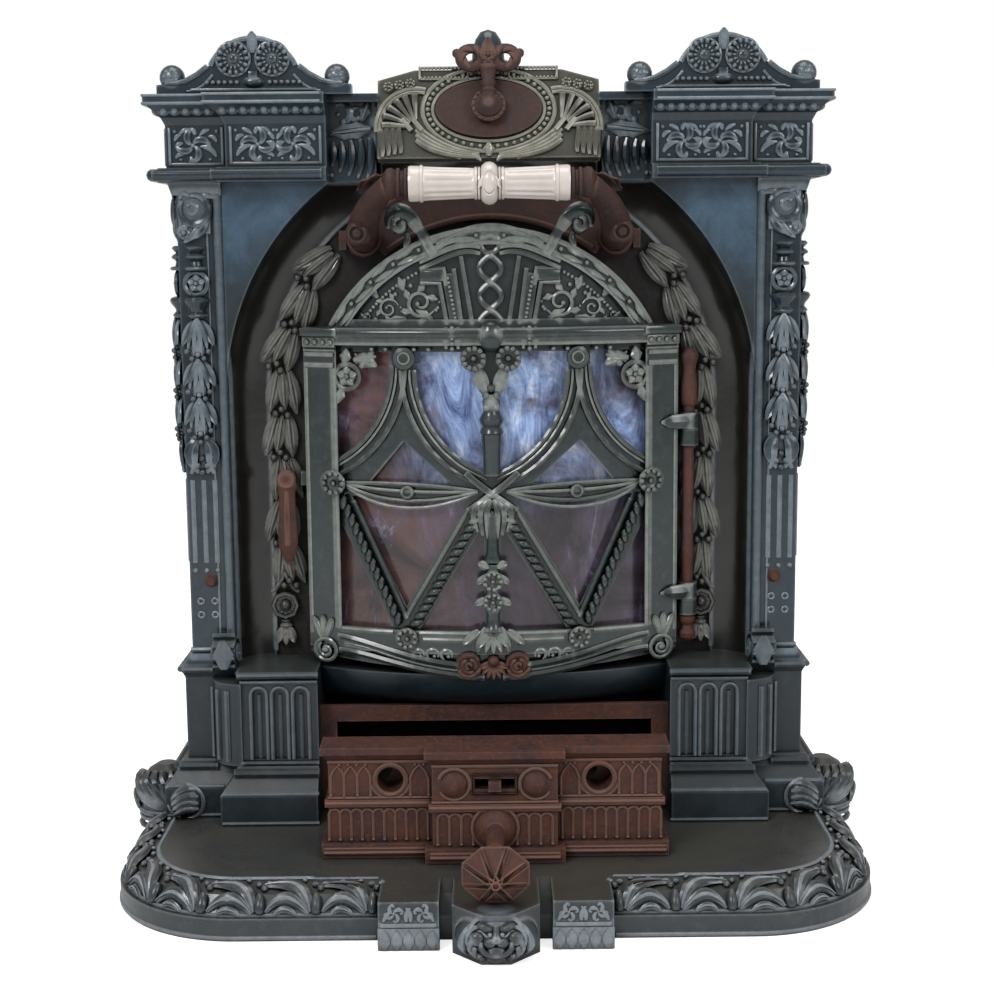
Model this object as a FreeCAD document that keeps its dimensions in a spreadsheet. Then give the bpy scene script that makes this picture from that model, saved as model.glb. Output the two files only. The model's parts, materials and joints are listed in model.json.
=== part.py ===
import FreeCAD, Part
import math
import os
import Sketcher
from FreeCAD import Placement, Rotation, Vector

# Enamelled cast iron stove with a bow-fronted fire door, an ash drawer and a hearth base.
# Frame: +Z up, the front faces -Y, origin on the floor under the middle of the stove, millimetres.

doc = FreeCAD.newDocument("Stove")
sheet = doc.addObject("Spreadsheet::Sheet", "Sizes")

# Driving dimensions. Reaches are distances from the origin along Y, levels are heights above the floor.
driving = {
    # hearth base
    "hearth_width": 618,
    "hearth_reach": 189,
    "block_reach": 208,
    "mask_reach": 235,
    "back_reach": 235,
    "lobe_radius": 110,
    "lobe_back": 100,
    "lobe_turn": 46,
    "slab_height": 18,
    "plate_level": 38,
    "border_width": 32,
    "border_lip": 5,
    "block_width": 46,
    "block_offset": 66,
    "mask_width": 66,
    "mask_height": 38,
    "crown_inset": 14,
    "crown_level": 32,
    "pod_radius": 24,
    "pod_neck": 16,
    "pod_setback": 34,
    "pod_level": 73,
    "pod_gap": 0.5,
    "pod_overhang": 7.5,
    # body
    "wall": 6,
    "front_plane": 12,
    "body_width": 524,
    "pilaster_width": 38,
    "panel_depth": 36,
    "plinth_level": 168,
    "body_level": 580,
    "niche_half": 193,
    "niche_spring": 399,
    "cove": 32,
    "moulding_radius": 4,
    "frame_margin": 15,
    "frame_band": 8,
    "frame_rise": 5,
    "roundel_radius": 32,
    "roundel_rise": 4,
    # plinth
    "drawer_bay": 302,
    "pedestal_width": 65,
    "pedestal_reach": 30,
    "plinth_half": 268,
    "step_height": 26,
    "step_reach": 18,
    "slope_height": 12,
    "torus_height": 10,
    "flute_width": 11,
    "flute_height": 62,
    "flute_depth": 4,
    "flute_pitch": 18,
    "drum_radius": 28,
    "console_radius": 13,
    # entablature, pediments and crest
    "cornice_level": 651,
    "moulding": 6,
    "cornice_reach": 15,
    "crown_reach": 12,
    "crown_height": 24,
    "fascia_height": 9,
    "fillet_reach": 9,
    "frieze_outer": 268,
    "frieze_break": 217,
    "frieze_inner": 134,
    "break_reach": 16,
    "wing_inner": 95,
    "wing_setback": 12,
    "pediment_offset": 193,
    "pediment_half": 80,
    "pediment_height": 47,
    "pediment_depth": 16,
    "pediment_curve": 40,
    "ball_lift": 14,
    "ball_inset": 12,
    "ogee_lift": 11,
    "ball_radius": 8,
    "crest_level": 598,
    "crest_half": 92,
    "crest_rise": 80,
    "crest_depth": 9,
    "crest_tilt": 18,
    "crest_setout": 14,
    "ledge_height": 5,
    "oval_half_width": 44,
    "oval_half_height": 25,
    "oval_depth": 3,
    # garland drops
    "drop_level": 332,
    "drop_radius": 14.5,
    "drop_neck": 9,
    "side_drop_radius": 12,
    "tier_height": 36,
    # flue and damper
    "top_level": 642,
    "flue_radius": 55.5,
    "flue_wall": 5,
    "flue_reach": 140,
    "socket_length": 30,
    "throat_length": 70,
    "throat_step": 4,
    "collar_height": 36,
    "flange_width": 16,
    "hub_rise": 42,
    "spindle_radius": 4,
    "disc_gap": 5,
    "disc_thickness": 3,
    "key_height": 67,
    "key_depth": 7,
    "key_gap": 6,
    "bow_radius": 14,
    "key_hub_radius": 10.5,
    "sleeve_radius": 7,
    "sleeve_half": 37,
    "running_fit": 0.05,
    # fire mouth and door
    "mouth_half": 146,
    "mouth_spring": 388,
    "garland_radius": 182,
    "garland_width": 18,
    "garland_foot": 186,
    "garland_end": 43,
    "door_half": 160,
    "door_foot": 176,
    "door_dip": 10,
    "bar_level": 445,
    "bar_height": 14,
    "tympanum_half": 138,
    "tympanum_radius": 156,
    "bow_curve": 326,
    "door_bow": 18,
    "door_wall": 6,
    "relief": 5,
    "bar_relief": 9,
    "window_half": 131,
    "window_foot": 202,
    "mullion": 14,
    "tie_level": 322,
    "tie_height": 12,
    "rope_width": 9,
    "vee_offset": 74,
    "strap_radius": 94,
    "strap_dip": 36,
    "vee_gap": 11,
    "mica_thickness": 1,
    "mica_gap": 0.4,
    "strip_width": 12,
    "door_gap": 0.5,
    # hinge and latch
    "rod_offset": 170,
    "rod_setback": 16,
    "rod_radius": 5,
    "rod_foot": 182,
    "rod_top": 440,
    "finial_radius": 8,
    "finial_height": 14,
    "knuckle_radius": 8.5,
    "knuckle_height": 14,
    "upper_knuckle_level": 369,
    "lower_knuckle_level": 220,
    "knuckle_play": 0.3,
    "latch_offset": 178,
    "latch_level": 328,
    "latch_length": 72,
    "latch_half_width": 8,
    "latch_depth": 6,
    "latch_pin_radius": 4,
    "latch_head_radius": 7,
    "latch_setout": 9,
    "lug_height": 12,
    # hood flap
    "flap_inner": 150,
    "flap_outer": 188,
    "flap_angle": 37,
    "flap_depth": 6,
    "flap_setout": 18,
    "pivot_level": 532,
    "boss_offset": 106,
    "boss_radius": 15,
    "boss_depth": 20,
    "pivot_radius": 4,
    "arm_radius": 7,
    "eye_radius": 9,
    "grip_level": 575,
    "grip_setout": 74,
    "grip_half": 64,
    "grip_radius": 14,
    "grip_end_radius": 10,
    "egg_half": 9,
    "egg_radius": 17,
    "ferrule_length": 8,
    "grip_rod_radius": 4,
    "eye_length": 10,
    "slot_half": 60,
    "slot_height": 24,
    # ash drawer
    "surround_setout": 10,
    "surround_level": 132,
    "surround_band": 14,
    "drawer_half": 140,
    "drawer_setout": 122,
    "drawer_front_depth": 26,
    "drawer_level": 130,
    "drawer_break_half": 50,
    "drawer_break_reach": 14,
    "drawer_clearance": 0.3,
    "pan_clearance": 11,
    "pan_length": 190,
    "pan_height": 34,
    "pan_wall": 2,
    "hole_offset": 84,
    "hole_level": 102,
    "hole_radius": 11,
    "tab_slot_half": 16,
    "tab_half": 5,
    "tab_height": 8,
    "shutter_half": 104,
    "shutter_height": 30,
    "shutter_thickness": 2,
    "stem_radius": 7,
    "stem_length": 70,
    "knob_radius": 24,
    "knob_length": 36,
    "knob_neck": 10.5,
    "knob_level": 66,
    "apron_rise": 32,
    "apron_lip": 4,
    "apron_width": 60,
    "apron_angle": 60,
    # fire bed and fasteners
    "grate_half": 118,
    "grate_bar": 9,
    "grate_pitch": 19,
    "grate_height": 14,
    "bearer_height": 10,
    "brick_thickness": 26,
    "brick_height": 190,
    "tie_rod_radius": 4,
    "tie_rod_offset": 244,
    "nut_radius": 9,
    "nut_height": 7,
    "screw_radius": 6,
    "screw_level": 242,
}

for row, (alias, number) in enumerate(driving.items(), start=1):
    sheet.set(f"A{row}", alias)
    sheet.set(f"B{row}", str(number))
    sheet.setAlias(f"B{row}", alias)
doc.recompute()


class Size:
    # A length that remembers the spreadsheet expression it comes from.
    def __init__(self, value, text):
        self.value = value
        self.text = text

    def __add__(self, other):
        other = as_size(other)
        return Size(self.value + other.value, f"({self.text} + {other.text})")

    def __sub__(self, other):
        other = as_size(other)
        return Size(self.value - other.value, f"({self.text} - {other.text})")

    def __mul__(self, other):
        other = as_size(other)
        return Size(self.value * other.value, f"({self.text} * {other.text})")

    def __truediv__(self, other):
        other = as_size(other)
        return Size(self.value / other.value, f"({self.text} / {other.text})")

    def __radd__(self, other):
        return as_size(other) + self

    def __rsub__(self, other):
        return as_size(other) - self

    def __rmul__(self, other):
        return as_size(other) * self

    def __neg__(self):
        return 0 - self


def as_size(number):
    return number if isinstance(number, Size) else Size(float(number), f"{number}")


def root(size):
    return Size(math.sqrt(size.value), f"sqrt({size.text})")


def arc_height(radius, half_chord):
    # Distance from a circle's centre to a chord of it.
    return root(radius * radius - half_chord * half_chord)


class SizeTable:
    # Reads a driving dimension by its alias.
    def __getattr__(self, alias):
        return Size(float(sheet.get(alias)), f"Sizes.{alias}")


size = SizeTable()
parts = {}


def keep(label, item):
    # Makes an object one of the stove's pieces.
    item.Label = label
    parts[label] = item
    return item


def bind(item, prop, amount):
    item.setExpression(prop, as_size(amount).text)


def place(item, x, y, z):
    bind(item, "Placement.Base.x", x)
    bind(item, "Placement.Base.y", y)
    bind(item, "Placement.Base.z", z)


def box(name, x, y, z, length, width, height):
    # A box by its lowest corner and its sizes along X, Y and Z.
    item = doc.addObject("Part::Box", name)
    bind(item, "Length", length)
    bind(item, "Width", width)
    bind(item, "Height", height)
    place(item, x, y, z)
    return item


turns = {
    "up": Rotation(),
    "front": Rotation(Vector(1, 0, 0), 90),
    "right": Rotation(Vector(0, 1, 0), 90),
}


def cylinder(name, x, y, z, radius, height, way="up"):
    # A cylinder that starts at a point and runs up, to the front or to the right.
    item = doc.addObject("Part::Cylinder", name)
    bind(item, "Radius", radius)
    bind(item, "Height", height)
    item.Placement.Rotation = turns[way]
    place(item, x, y, z)
    return item


def cone(name, x, y, z, first, last, height, way="up"):
    item = doc.addObject("Part::Cone", name)
    bind(item, "Radius1", first)
    bind(item, "Radius2", last)
    bind(item, "Height", height)
    item.Placement.Rotation = turns[way]
    place(item, x, y, z)
    return item


def fuse(name, items):
    item = doc.addObject("Part::MultiFuse", name)
    item.Shapes = items
    item.Refine = True
    return item


def common(name, items):
    item = doc.addObject("Part::MultiCommon", name)
    item.Shapes = items
    return item


def cut(name, base, tools):
    item = doc.addObject("Part::Cut", name)
    item.Base = base
    item.Tool = tools[0] if len(tools) == 1 else fuse(f"{name}_tools", tools)
    return item


def group(name, items):
    # Separate solids of one kind that share a node.
    item = doc.addObject("Part::Compound", name)
    item.Links = items
    return item


def new_body(name):
    return doc.addObject("PartDesign::Body", name)


def origin_feature(body, role):
    return next(item for item in body.Origin.OriginFeatures if item.Role == role)


def sketch_on(body, role, level):
    # A sketch parallel to an origin plane, at a level along that plane's normal.
    sketch = body.newObject("Sketcher::SketchObject", f"{body.Name}_sketch")
    sketch.AttachmentSupport = (origin_feature(body, role), [""])
    sketch.MapMode = "FlatFace"
    bind(sketch, "AttachmentOffset.Base.z", level)
    return sketch


def arc_between(start, end, radius, side):
    # The shorter arc from start to end; side 1 bulges to the right of the way, -1 to the left.
    chord = end - start
    middle = (start + end) * 0.5
    half = chord.Length / 2
    sagitta = radius - math.sqrt(max(radius * radius - half * half, 0))
    right = Vector(chord.y, -chord.x, 0).normalize()
    bulge = middle + right * (sagitta * side)
    return Part.Arc(start, bulge, end) if side > 0 else Part.Arc(end, bulge, start)


def add_loop(sketch, points):
    # A closed outline. A point is (x, y), or (x, y, radius, side) where an arc leaves it.
    spots = [Vector(as_size(point[0]).value, as_size(point[1]).value, 0) for point in points]
    first = sketch.GeometryCount
    ends = []
    for index, point in enumerate(points):
        start = spots[index]
        end = spots[(index + 1) % len(points)]
        if len(point) == 2:
            sketch.addGeometry(Part.LineSegment(start, end), False)
            ends.append((1, 2))
        else:
            sketch.addGeometry(arc_between(start, end, as_size(point[2]).value, point[3]), False)
            ends.append((1, 2) if point[3] > 0 else (2, 1))
    for index, point in enumerate(points):
        following = (index + 1) % len(points)
        sketch.addConstraint(Sketcher.Constraint(
            "Coincident", first + index, ends[index][1], first + following, ends[following][0]))
    for index, point in enumerate(points):
        for kind, amount in (("DistanceX", point[0]), ("DistanceY", point[1])):
            amount = as_size(amount)
            number = sketch.addConstraint(Sketcher.Constraint(
                kind, -1, 1, first + index, ends[index][0], amount.value))
            sketch.setExpression(f"Constraints[{number}]", amount.text)
        if len(point) == 4:
            radius = as_size(point[2])
            number = sketch.addConstraint(Sketcher.Constraint("Radius", first + index, radius.value))
            sketch.setExpression(f"Constraints[{number}]", radius.text)


def pad(body, sketch, length):
    feature = body.newObject("PartDesign::Pad", f"{body.Name}_pad")
    feature.Profile = sketch
    bind(feature, "Length", length)
    return feature


def slope_between(body, lower, upper):
    # A ruled course between two plan sketches.
    feature = body.newObject("PartDesign::AdditiveLoft", f"{body.Name}_slope")
    feature.Profile = lower
    feature.Sections = [upper]
    feature.Ruled = True
    return feature


def pocket(body, sketch, length, backwards=False):
    feature = body.newObject("PartDesign::Pocket", f"{body.Name}_pocket")
    feature.Profile = sketch
    feature.Reversed = backwards
    bind(feature, "Length", length)
    return feature


def revolve(body, sketch, axis, angle, midplane=True, backwards=False):
    feature = body.newObject("PartDesign::Revolution", f"{body.Name}_turned")
    feature.Profile = sketch
    feature.ReferenceAxis = (origin_feature(body, axis), [""])
    bind(feature, "Angle", angle)
    feature.Midplane = midplane
    feature.Reversed = backwards
    return feature


def plan_sketch(body, points, level):
    sketch = sketch_on(body, "XY_Plane", level)
    add_loop(sketch, points)
    return sketch


def layer(body, points, level, height):
    # One course of a stacked block: a plan outline at a level, padded upwards.
    return pad(body, plan_sketch(body, points, level), height)


def course_stack(name, plan, courses):
    # Courses one on another; each is a level, a height and how far its foot and its head project.
    body = new_body(name)
    for level, height, foot, head in courses:
        if foot is head:
            layer(body, plan(as_size(foot)), level, height)
        else:
            slope_between(body, plan_sketch(body, plan(as_size(foot)), level),
                          plan_sketch(body, plan(as_size(head)), level + height))
    return body


def front_plate(name, loops, back, depth):
    # A plate across the stove: outlines in X and Z, its back face at a reach, padded to the front.
    body = new_body(name)
    sketch = sketch_on(body, "XZ_Plane", -as_size(back))
    for points in loops:
        add_loop(sketch, points)
    pad(body, sketch, depth)
    return body


def mirrored(points):
    # The same outline on the other side of the middle plane, with its arcs turned over.
    return [(-as_size(point[0]), point[1]) + ((point[2], -point[3]) if len(point) == 4 else ())
            for point in points]


def rod_between(name, start, end, radius):
    # A round bar from one point to another.
    start = Vector(*[as_size(number).value for number in start])
    end = Vector(*[as_size(number).value for number in end])
    item = doc.addObject("Part::Cylinder", name)
    bind(item, "Radius", radius)
    item.Height = (end - start).Length
    item.Placement = Placement(start, Rotation(Vector(0, 0, 1), end - start))
    return item


sides = (("left", -1), ("right", 1))
front = size.front_plane
panel_back = front + size.panel_depth
pod_offset = size.hearth_width / 2 + size.pod_overhang - size.pod_radius
body_half = size.body_width / 2
bay_half = size.drawer_bay / 2


def across(near, far, side):
    # The lowest X and the length of a span between two distances from the middle plane.
    return (near if side > 0 else -as_size(far)), as_size(far) - near


def lobe_pod(name, side):
    # Round scroll end that stands on the rear end of the hearth border, beside the plinth.
    body = new_body(name)
    sketch = sketch_on(body, "XZ_Plane", 0)
    swell = (size.pod_radius - size.pod_neck) * 1.25
    add_loop(sketch, [(0, size.slab_height), (size.pod_neck, size.slab_height),
                      (size.pod_radius, size.slab_height + swell), (size.pod_radius, size.pod_level - swell * 1.6),
                      (size.pod_neck, size.pod_level - swell / 2), (size.pod_neck / 2, size.pod_level),
                      (0, size.pod_level)])
    revolve(body, sketch, "Z_Axis", 360)
    place(body, pod_offset * side, size.pod_setback, 0)
    return body


def make_hearth_base():
    half = size.hearth_width / 2

    def plan(inset):
        # Rounded hearth with two lobes, drawn in by an inset.
        turn = size.lobe_turn - inset
        corner = size.lobe_radius - inset
        side = half - inset
        edge = size.hearth_reach - inset
        rear = size.lobe_back - inset
        return [
            (-side + turn, rear, turn, 1),
            (-side, rear - turn),
            (-side, corner - edge, corner, 1),
            (corner - side, -edge),
            (side - corner, -edge, corner, 1),
            (side, corner - edge),
            (side, rear - turn, turn, 1),
            (side - turn, rear),
        ]

    base = new_body("hearth_base")
    layer(base, plan(as_size(0)), 0, size.slab_height)
    slope_between(base, plan_sketch(base, plan(size.border_lip), size.slab_height),
                  plan_sketch(base, plan(size.crown_inset), size.crown_level))
    slope_between(base, plan_sketch(base, plan(size.crown_inset), size.crown_level),
                  plan_sketch(base, plan(size.border_width), size.plate_level))
    rear_half = size.plinth_half + size.step_reach
    rear = [(-rear_half, 0), (rear_half, 0), (rear_half, size.back_reach), (-rear_half, size.back_reach)]
    layer(base, rear, 0, size.plate_level)
    for name, side in sides:
        near = (size.block_offset - size.block_width / 2) * side
        far = (size.block_offset + size.block_width / 2) * side
        low, high = (near, far) if side > 0 else (far, near)
        inner = size.border_width - size.hearth_reach
        layer(base, [(low, -size.block_reach), (high, -size.block_reach), (high, inner), (low, inner)],
              0, size.plate_level)
    mask = size.mask_width / 2
    chamfer = size.mask_width / 3
    inner = size.border_width - size.hearth_reach
    layer(base, [(-mask, inner), (-mask, chamfer - size.mask_reach), (chamfer - mask, -size.mask_reach),
                 (mask - chamfer, -size.mask_reach), (mask, chamfer - size.mask_reach), (mask, inner)],
          0, size.mask_height)
    pocket(base, plan_sketch(base, plan(size.border_width + size.wall), 0), size.plate_level - size.wall, True)
    rear_space = box("hearth_rear_space", size.wall - rear_half, size.lobe_back, 0, (rear_half - size.wall) * 2,
                     size.back_reach - size.wall - size.lobe_back, size.plate_level - size.wall)
    pods = [lobe_pod(f"lobe_pod_{name}", side) for name, side in sides]
    keep("hearth_base", cut("hearth_cut", fuse("hearth_whole", [base] + pods), [rear_space]))


def make_plinth():
    def plan(project):
        outer = size.plinth_half + project
        edge = bay_half + size.pedestal_width + project
        reach = front - size.pedestal_reach - project
        corner = front - size.wall - project
        back = size.back_reach - size.wall
        return [(bay_half, reach), (edge, reach), (edge, corner), (outer, corner), (outer, back), (bay_half, back)]

    foot = size.plate_level
    slope = foot + size.step_height
    ring = slope + size.slope_height
    shaft = ring + size.torus_height
    cap = size.plinth_level - size.torus_height
    step = size.step_reach
    half_step = size.step_reach / 2
    courses = [
        (foot, size.step_height, step, step),
        (slope, size.slope_height, step, half_step),
        (ring, size.torus_height, half_step, half_step / 2),
        (shaft, cap - shaft, 0, 0),
        (cap, size.torus_height, 0, half_step / 2),
    ]
    flute_foot = shaft + (cap - shaft - size.flute_height) / 2
    for name, side in sides:
        outline = plan if side > 0 else lambda project: mirrored(plan(project))
        block = course_stack(f"plinth_block_{name}", outline, courses)
        flutes = sketch_on(block, "XZ_Plane", size.pedestal_reach - front)
        radius = size.flute_width / 2
        for place_number in (-1, 0, 1):
            middle = (bay_half + size.pedestal_width / 2 + size.flute_pitch * place_number) * side
            top = flute_foot + size.flute_height - radius
            add_loop(flutes, [(middle - radius, flute_foot), (middle + radius, flute_foot),
                              (middle + radius, top, radius, 1), (middle, top + radius, radius, 1),
                              (middle - radius, top)])
        pocket(block, flutes, size.flute_depth)
        height = size.plinth_level - size.wall - foot
        x, length = across(bay_half + size.wall, size.plinth_half - size.wall, side)
        hollow = box(f"plinth_hollow_{name}", x, front, foot, length,
                     size.back_reach - size.wall * 2 - front, height)
        x, length = across(bay_half + size.wall, bay_half + size.pedestal_width - size.wall, side)
        niche_depth = size.pedestal_reach - size.wall * 2
        niche = box(f"pedestal_hollow_{name}", x, front - niche_depth, foot, length, niche_depth, height)
        pod_space = cylinder(f"pod_space_{name}", pod_offset * side, size.pod_setback, foot,
                             size.pod_radius + size.pod_gap, ring - foot)
        keep(f"plinth_{name}", cut(f"plinth_cut_{name}", block,
                                   [hollow, niche, pod_space, tie_shank(f"plinth_tie_{name}", side)]))


def make_drums():
    # Quarter drums in the angles between pedestals and corners, with console scrolls above them.
    foot = size.plate_level + size.step_height + size.slope_height + size.torus_height
    height = size.plinth_level - size.torus_height - foot
    corner_y = front - size.wall
    corner_x = bay_half + size.pedestal_width
    drums = []
    consoles = []
    for name, side in sides:
        drum = cylinder(f"drum_round_{name}", corner_x * side, corner_y, foot, size.drum_radius, height)
        x, length = across(corner_x, corner_x + size.drum_radius, side)
        quarter = box(f"drum_quarter_{name}", x, corner_y - size.drum_radius, foot, length, size.drum_radius, height)
        drums.append(common(f"drum_{name}", [drum, quarter]))
        x, length = across(corner_x + size.console_radius / 2, corner_x + size.console_radius * 2, side)
        scroll = cylinder(f"console_round_{name}", x, corner_y, size.plinth_level + size.console_radius,
                          size.console_radius, length, "right")
        ahead = box(f"console_front_{name}", x, corner_y - size.console_radius, size.plinth_level, length,
                    size.console_radius, size.console_radius * 2)
        consoles.append(common(f"console_{name}", [scroll, ahead]))
    keep("drums", group("drum_pair", drums))
    keep("consoles", group("console_pair", consoles))


def tee_outline():
    # Front wall outline: full width to the entablature, narrower up to the crest.
    half = body_half - size.pilaster_width
    return [(-half, size.plinth_level), (half, size.plinth_level), (half, size.body_level),
            (size.crest_half, size.body_level), (size.crest_half, size.crest_level),
            (-size.crest_half, size.crest_level), (-size.crest_half, size.body_level),
            (-half, size.body_level)]


def make_front_panel():
    wall = front_plate("front_wall", [tee_outline()], panel_back, size.panel_depth)
    space = new_body("niche_space")
    half = size.niche_half
    rim = half + size.cove
    ahead = front - size.wall
    cove_end = front + size.cove
    sketch = plan_sketch(space, [
        (-rim, ahead), (rim, ahead), (rim, front, size.cove, 1), (half, cove_end), (half, panel_back),
        (-half, panel_back), (-half, cove_end, size.cove, 1), (-rim, front)], 0)
    legs = pad(space, sketch, size.niche_spring - size.plinth_level)
    legs.Reversed = True
    sketch = plan_sketch(space, [(0, ahead), (rim, ahead), (rim, front, size.cove, 1), (half, cove_end),
                                 (half, panel_back), (0, panel_back)], 0)
    revolve(space, sketch, "Y_Axis", 180, midplane=False, backwards=True)
    place(space, 0, 0, size.niche_spring)
    keep("front_panel", cut("niche_cut", wall, [space]))


def make_pilasters():
    cap = size.torus_height

    def plan(project):
        inner = body_half - size.pilaster_width
        return [(inner, front - project), (body_half + project, front - project),
                (body_half + project, panel_back), (inner, panel_back)]

    shaft = size.plinth_level + cap
    courses = [
        (size.plinth_level, cap, size.wall, size.wall / 2),
        (shaft, size.body_level - cap - shaft, 0, 0),
        (size.body_level - cap, cap, size.wall / 2, size.wall),
    ]
    for name, side in sides:
        outline = plan if side > 0 else lambda project: mirrored(plan(project))
        block = course_stack(f"pilaster_block_{name}", outline, courses)
        roll_x = (body_half - size.pilaster_width + size.moulding_radius) * side
        roll = cylinder(f"pilaster_roll_{name}", roll_x, front, shaft, size.moulding_radius,
                        size.body_level - cap - shaft)
        keep(f"pilaster_{name}", fuse(f"pilaster_fuse_{name}", [block, roll]))


def half_turned(name, radius, neck, tier, count):
    # A half-round garland of husk tiers with a flat back, standing along Z with its round side to +X.
    body = new_body(name)
    sketch = sketch_on(body, "XZ_Plane", 0)
    points = [(0, 0)]
    for number in range(count):
        foot = tier * number
        points.append((neck, foot + tier / 6))
        points.append((radius, foot + tier * 2 / 3))
    points.append((neck, tier * count))
    points.append((0, tier * count))
    add_loop(sketch, points)
    revolve(body, sketch, "Z_Axis", 180)
    return body


def make_drops():
    tiers = 6
    shaft_inner = body_half - size.pilaster_width + size.moulding_radius * 2
    front_drops = []
    for name, side in sides:
        drop = half_turned(f"front_drop_{name}", size.drop_radius, size.drop_neck, size.tier_height, tiers)
        drop.Placement.Rotation = Rotation(Vector(0, 0, 1), -90)
        place(drop, (shaft_inner + body_half) / 2 * side, front, size.drop_level)
        front_drops.append(drop)
        drop = half_turned(f"side_drop_{name}", size.side_drop_radius, size.drop_neck, size.tier_height, tiers)
        drop.Placement.Rotation = Rotation(Vector(0, 0, 1), 0 if side > 0 else 180)
        place(drop, body_half * side, front + size.panel_depth / 2, size.drop_level)
        keep(f"side_drop_{name}", drop)
    keep("front_drops", group("front_drop_pair", front_drops))


def tie_shank(name, side):
    # Shank of a tie rod, from the hearth plate to the top of the cornice.
    return cylinder(name, size.tie_rod_offset * side, panel_back + size.nut_radius * 2, size.plate_level,
                    size.tie_rod_radius, size.cornice_level - size.plate_level)


def make_walls():
    for name, side in sides:
        x, length = across(body_half - size.wall, body_half, side)
        depth = size.back_reach - size.wall - panel_back
        height = size.body_level - size.plinth_level
        sheet_wall = box(f"side_sheet_{name}", x, panel_back, size.plinth_level, length, depth, height)
        x, length = across(body_half - size.wall / 2, body_half + size.frame_rise, side)
        rim = size.frame_margin
        field = size.frame_margin + size.frame_band
        band = box(f"side_band_{name}", x, panel_back + rim, size.plinth_level + rim, length,
                   depth - rim * 2, height - rim * 2)
        opening = box(f"side_field_{name}", x, panel_back + field, size.plinth_level + field, length,
                      depth - field * 2, height - field * 2)
        frame = cut(f"side_frame_{name}", band, [opening])
        x, length = across(body_half - size.wall / 2, body_half + size.roundel_rise, side)
        roundel = cylinder(f"side_roundel_{name}", x, panel_back + depth / 2, size.plinth_level + height / 2,
                           size.roundel_radius, length, "right")
        keep(f"side_panel_{name}", fuse(f"side_wall_{name}", [sheet_wall, frame, roundel]))
    top = size.top_level - size.wall
    outline = [(-body_half, size.plate_level), (body_half, size.plate_level), (body_half, size.body_level),
               (size.frieze_inner, size.body_level), (size.frieze_inner, top), (-size.frieze_inner, top),
               (-size.frieze_inner, size.body_level), (-body_half, size.body_level)]
    keep("back_panel", front_plate("back_panel", [outline], size.back_reach, size.wall))


def make_entablature():
    foot = size.body_level
    moulding = size.moulding
    frieze = foot + moulding * 2
    crown = size.cornice_level - size.crown_height
    band = crown + moulding
    fascia = size.cornice_level - size.fascia_height

    def plan(project):
        break_front = front - size.break_reach - project
        corner_front = front - size.wall - project
        outer = size.frieze_outer + project
        edge = size.frieze_break + project
        return [(size.frieze_inner, break_front), (edge, break_front), (edge, corner_front),
                (outer, corner_front), (outer, size.back_reach), (size.frieze_inner, size.back_reach)]

    cornice = size.cornice_reach
    courses = [
        (foot, moulding, moulding, size.fillet_reach),
        (foot + moulding, moulding, size.fillet_reach, moulding),
        (frieze, crown - frieze, 0, 0),
        (crown, moulding, 0, moulding / 2),
        (band, fascia - band, moulding / 2, size.crown_reach),
        (fascia, size.fascia_height, cornice, cornice),
    ]
    for name, side in sides:
        outline = plan if side > 0 else lambda project: mirrored(plan(project))
        block = course_stack(f"entablature_block_{name}", outline, courses)
        x, length = across(size.wing_inner, size.frieze_inner + size.wall, side)
        wing_front = front + size.wing_setback
        wing = box(f"entablature_wing_{name}", x, wing_front, foot, length,
                   size.wall, size.cornice_level - foot)
        x, length = across(size.frieze_inner + size.wall, size.frieze_outer - size.wall, side)
        hollow = box(f"entablature_hollow_{name}", x, front + size.wall * 2, foot, length,
                     size.back_reach - front - size.wall * 3, size.cornice_level - size.wall - foot)
        shell = cut(f"entablature_shell_{name}", block, [hollow, tie_shank(f"entablature_tie_{name}", side)])
        keep(f"entablature_{name}", fuse(f"entablature_fuse_{name}", [shell, wing]))


def make_pediments():
    foot = size.cornice_level
    half = size.pediment_half
    shoulder = size.ball_radius
    head = size.pediment_height
    hump = half / 2 - shoulder / 2
    back = front + size.wall - size.break_reach + size.pediment_depth
    for name, side in sides:
        middle = size.pediment_offset * side
        outline = [(middle - half, foot), (middle + half, foot), (middle + half, foot + shoulder),
                   (middle + half - shoulder * 3, foot + size.ogee_lift),
                   (middle + hump, foot + head / 2, size.pediment_curve, 1),
                   (middle - hump, foot + head / 2),
                   (middle - half + shoulder * 3, foot + size.ogee_lift), (middle - half, foot + shoulder)]
        plate = front_plate(f"pediment_plate_{name}", [outline], back, size.pediment_depth)
        balls = []
        for end in (-1, 1):
            ball = doc.addObject("Part::Sphere", f"pediment_ball_{name}")
            bind(ball, "Radius", size.ball_radius)
            place(ball, middle + (half - size.ball_inset) * end, back - size.pediment_depth / 2,
                  foot + size.ball_lift)
            balls.append(ball)
        keep(f"pediment_{name}", fuse(f"pediment_fuse_{name}", [plate] + balls))


tilt = size.crest_tilt
crest_foot_y = front - size.crest_setout
lean = Rotation(Vector(1, 0, 0), -tilt.value)
crest_place = Placement(Vector(0, crest_foot_y.value, size.crest_level.value), lean)
hub_place = crest_place.multiply(Placement(Vector(0, 0, size.hub_rise.value), Rotation()))
flue_run = (size.flue_reach.value - hub_place.Base.y) / math.cos(math.radians(tilt.value))


def on_crest(item, y=0):
    # Seats an object drawn about the damper hub on the leaning crest.
    item.Placement = hub_place.multiply(Placement(Vector(0, as_size(y).value, 0), item.Placement.Rotation))
    return item


def bore_along_spindle(name, radius):
    # A long cylinder on the damper spindle's axis, for cutting its holes.
    item = cylinder(name, 0, 0, 0, radius, 1, "front")
    item.setExpression("Placement.Base.x", None)
    item.setExpression("Placement.Base.y", None)
    item.setExpression("Placement.Base.z", None)
    bind(item, "Height", size.flue_reach * 3)
    return on_crest(item, size.flue_reach * 2)


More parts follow.
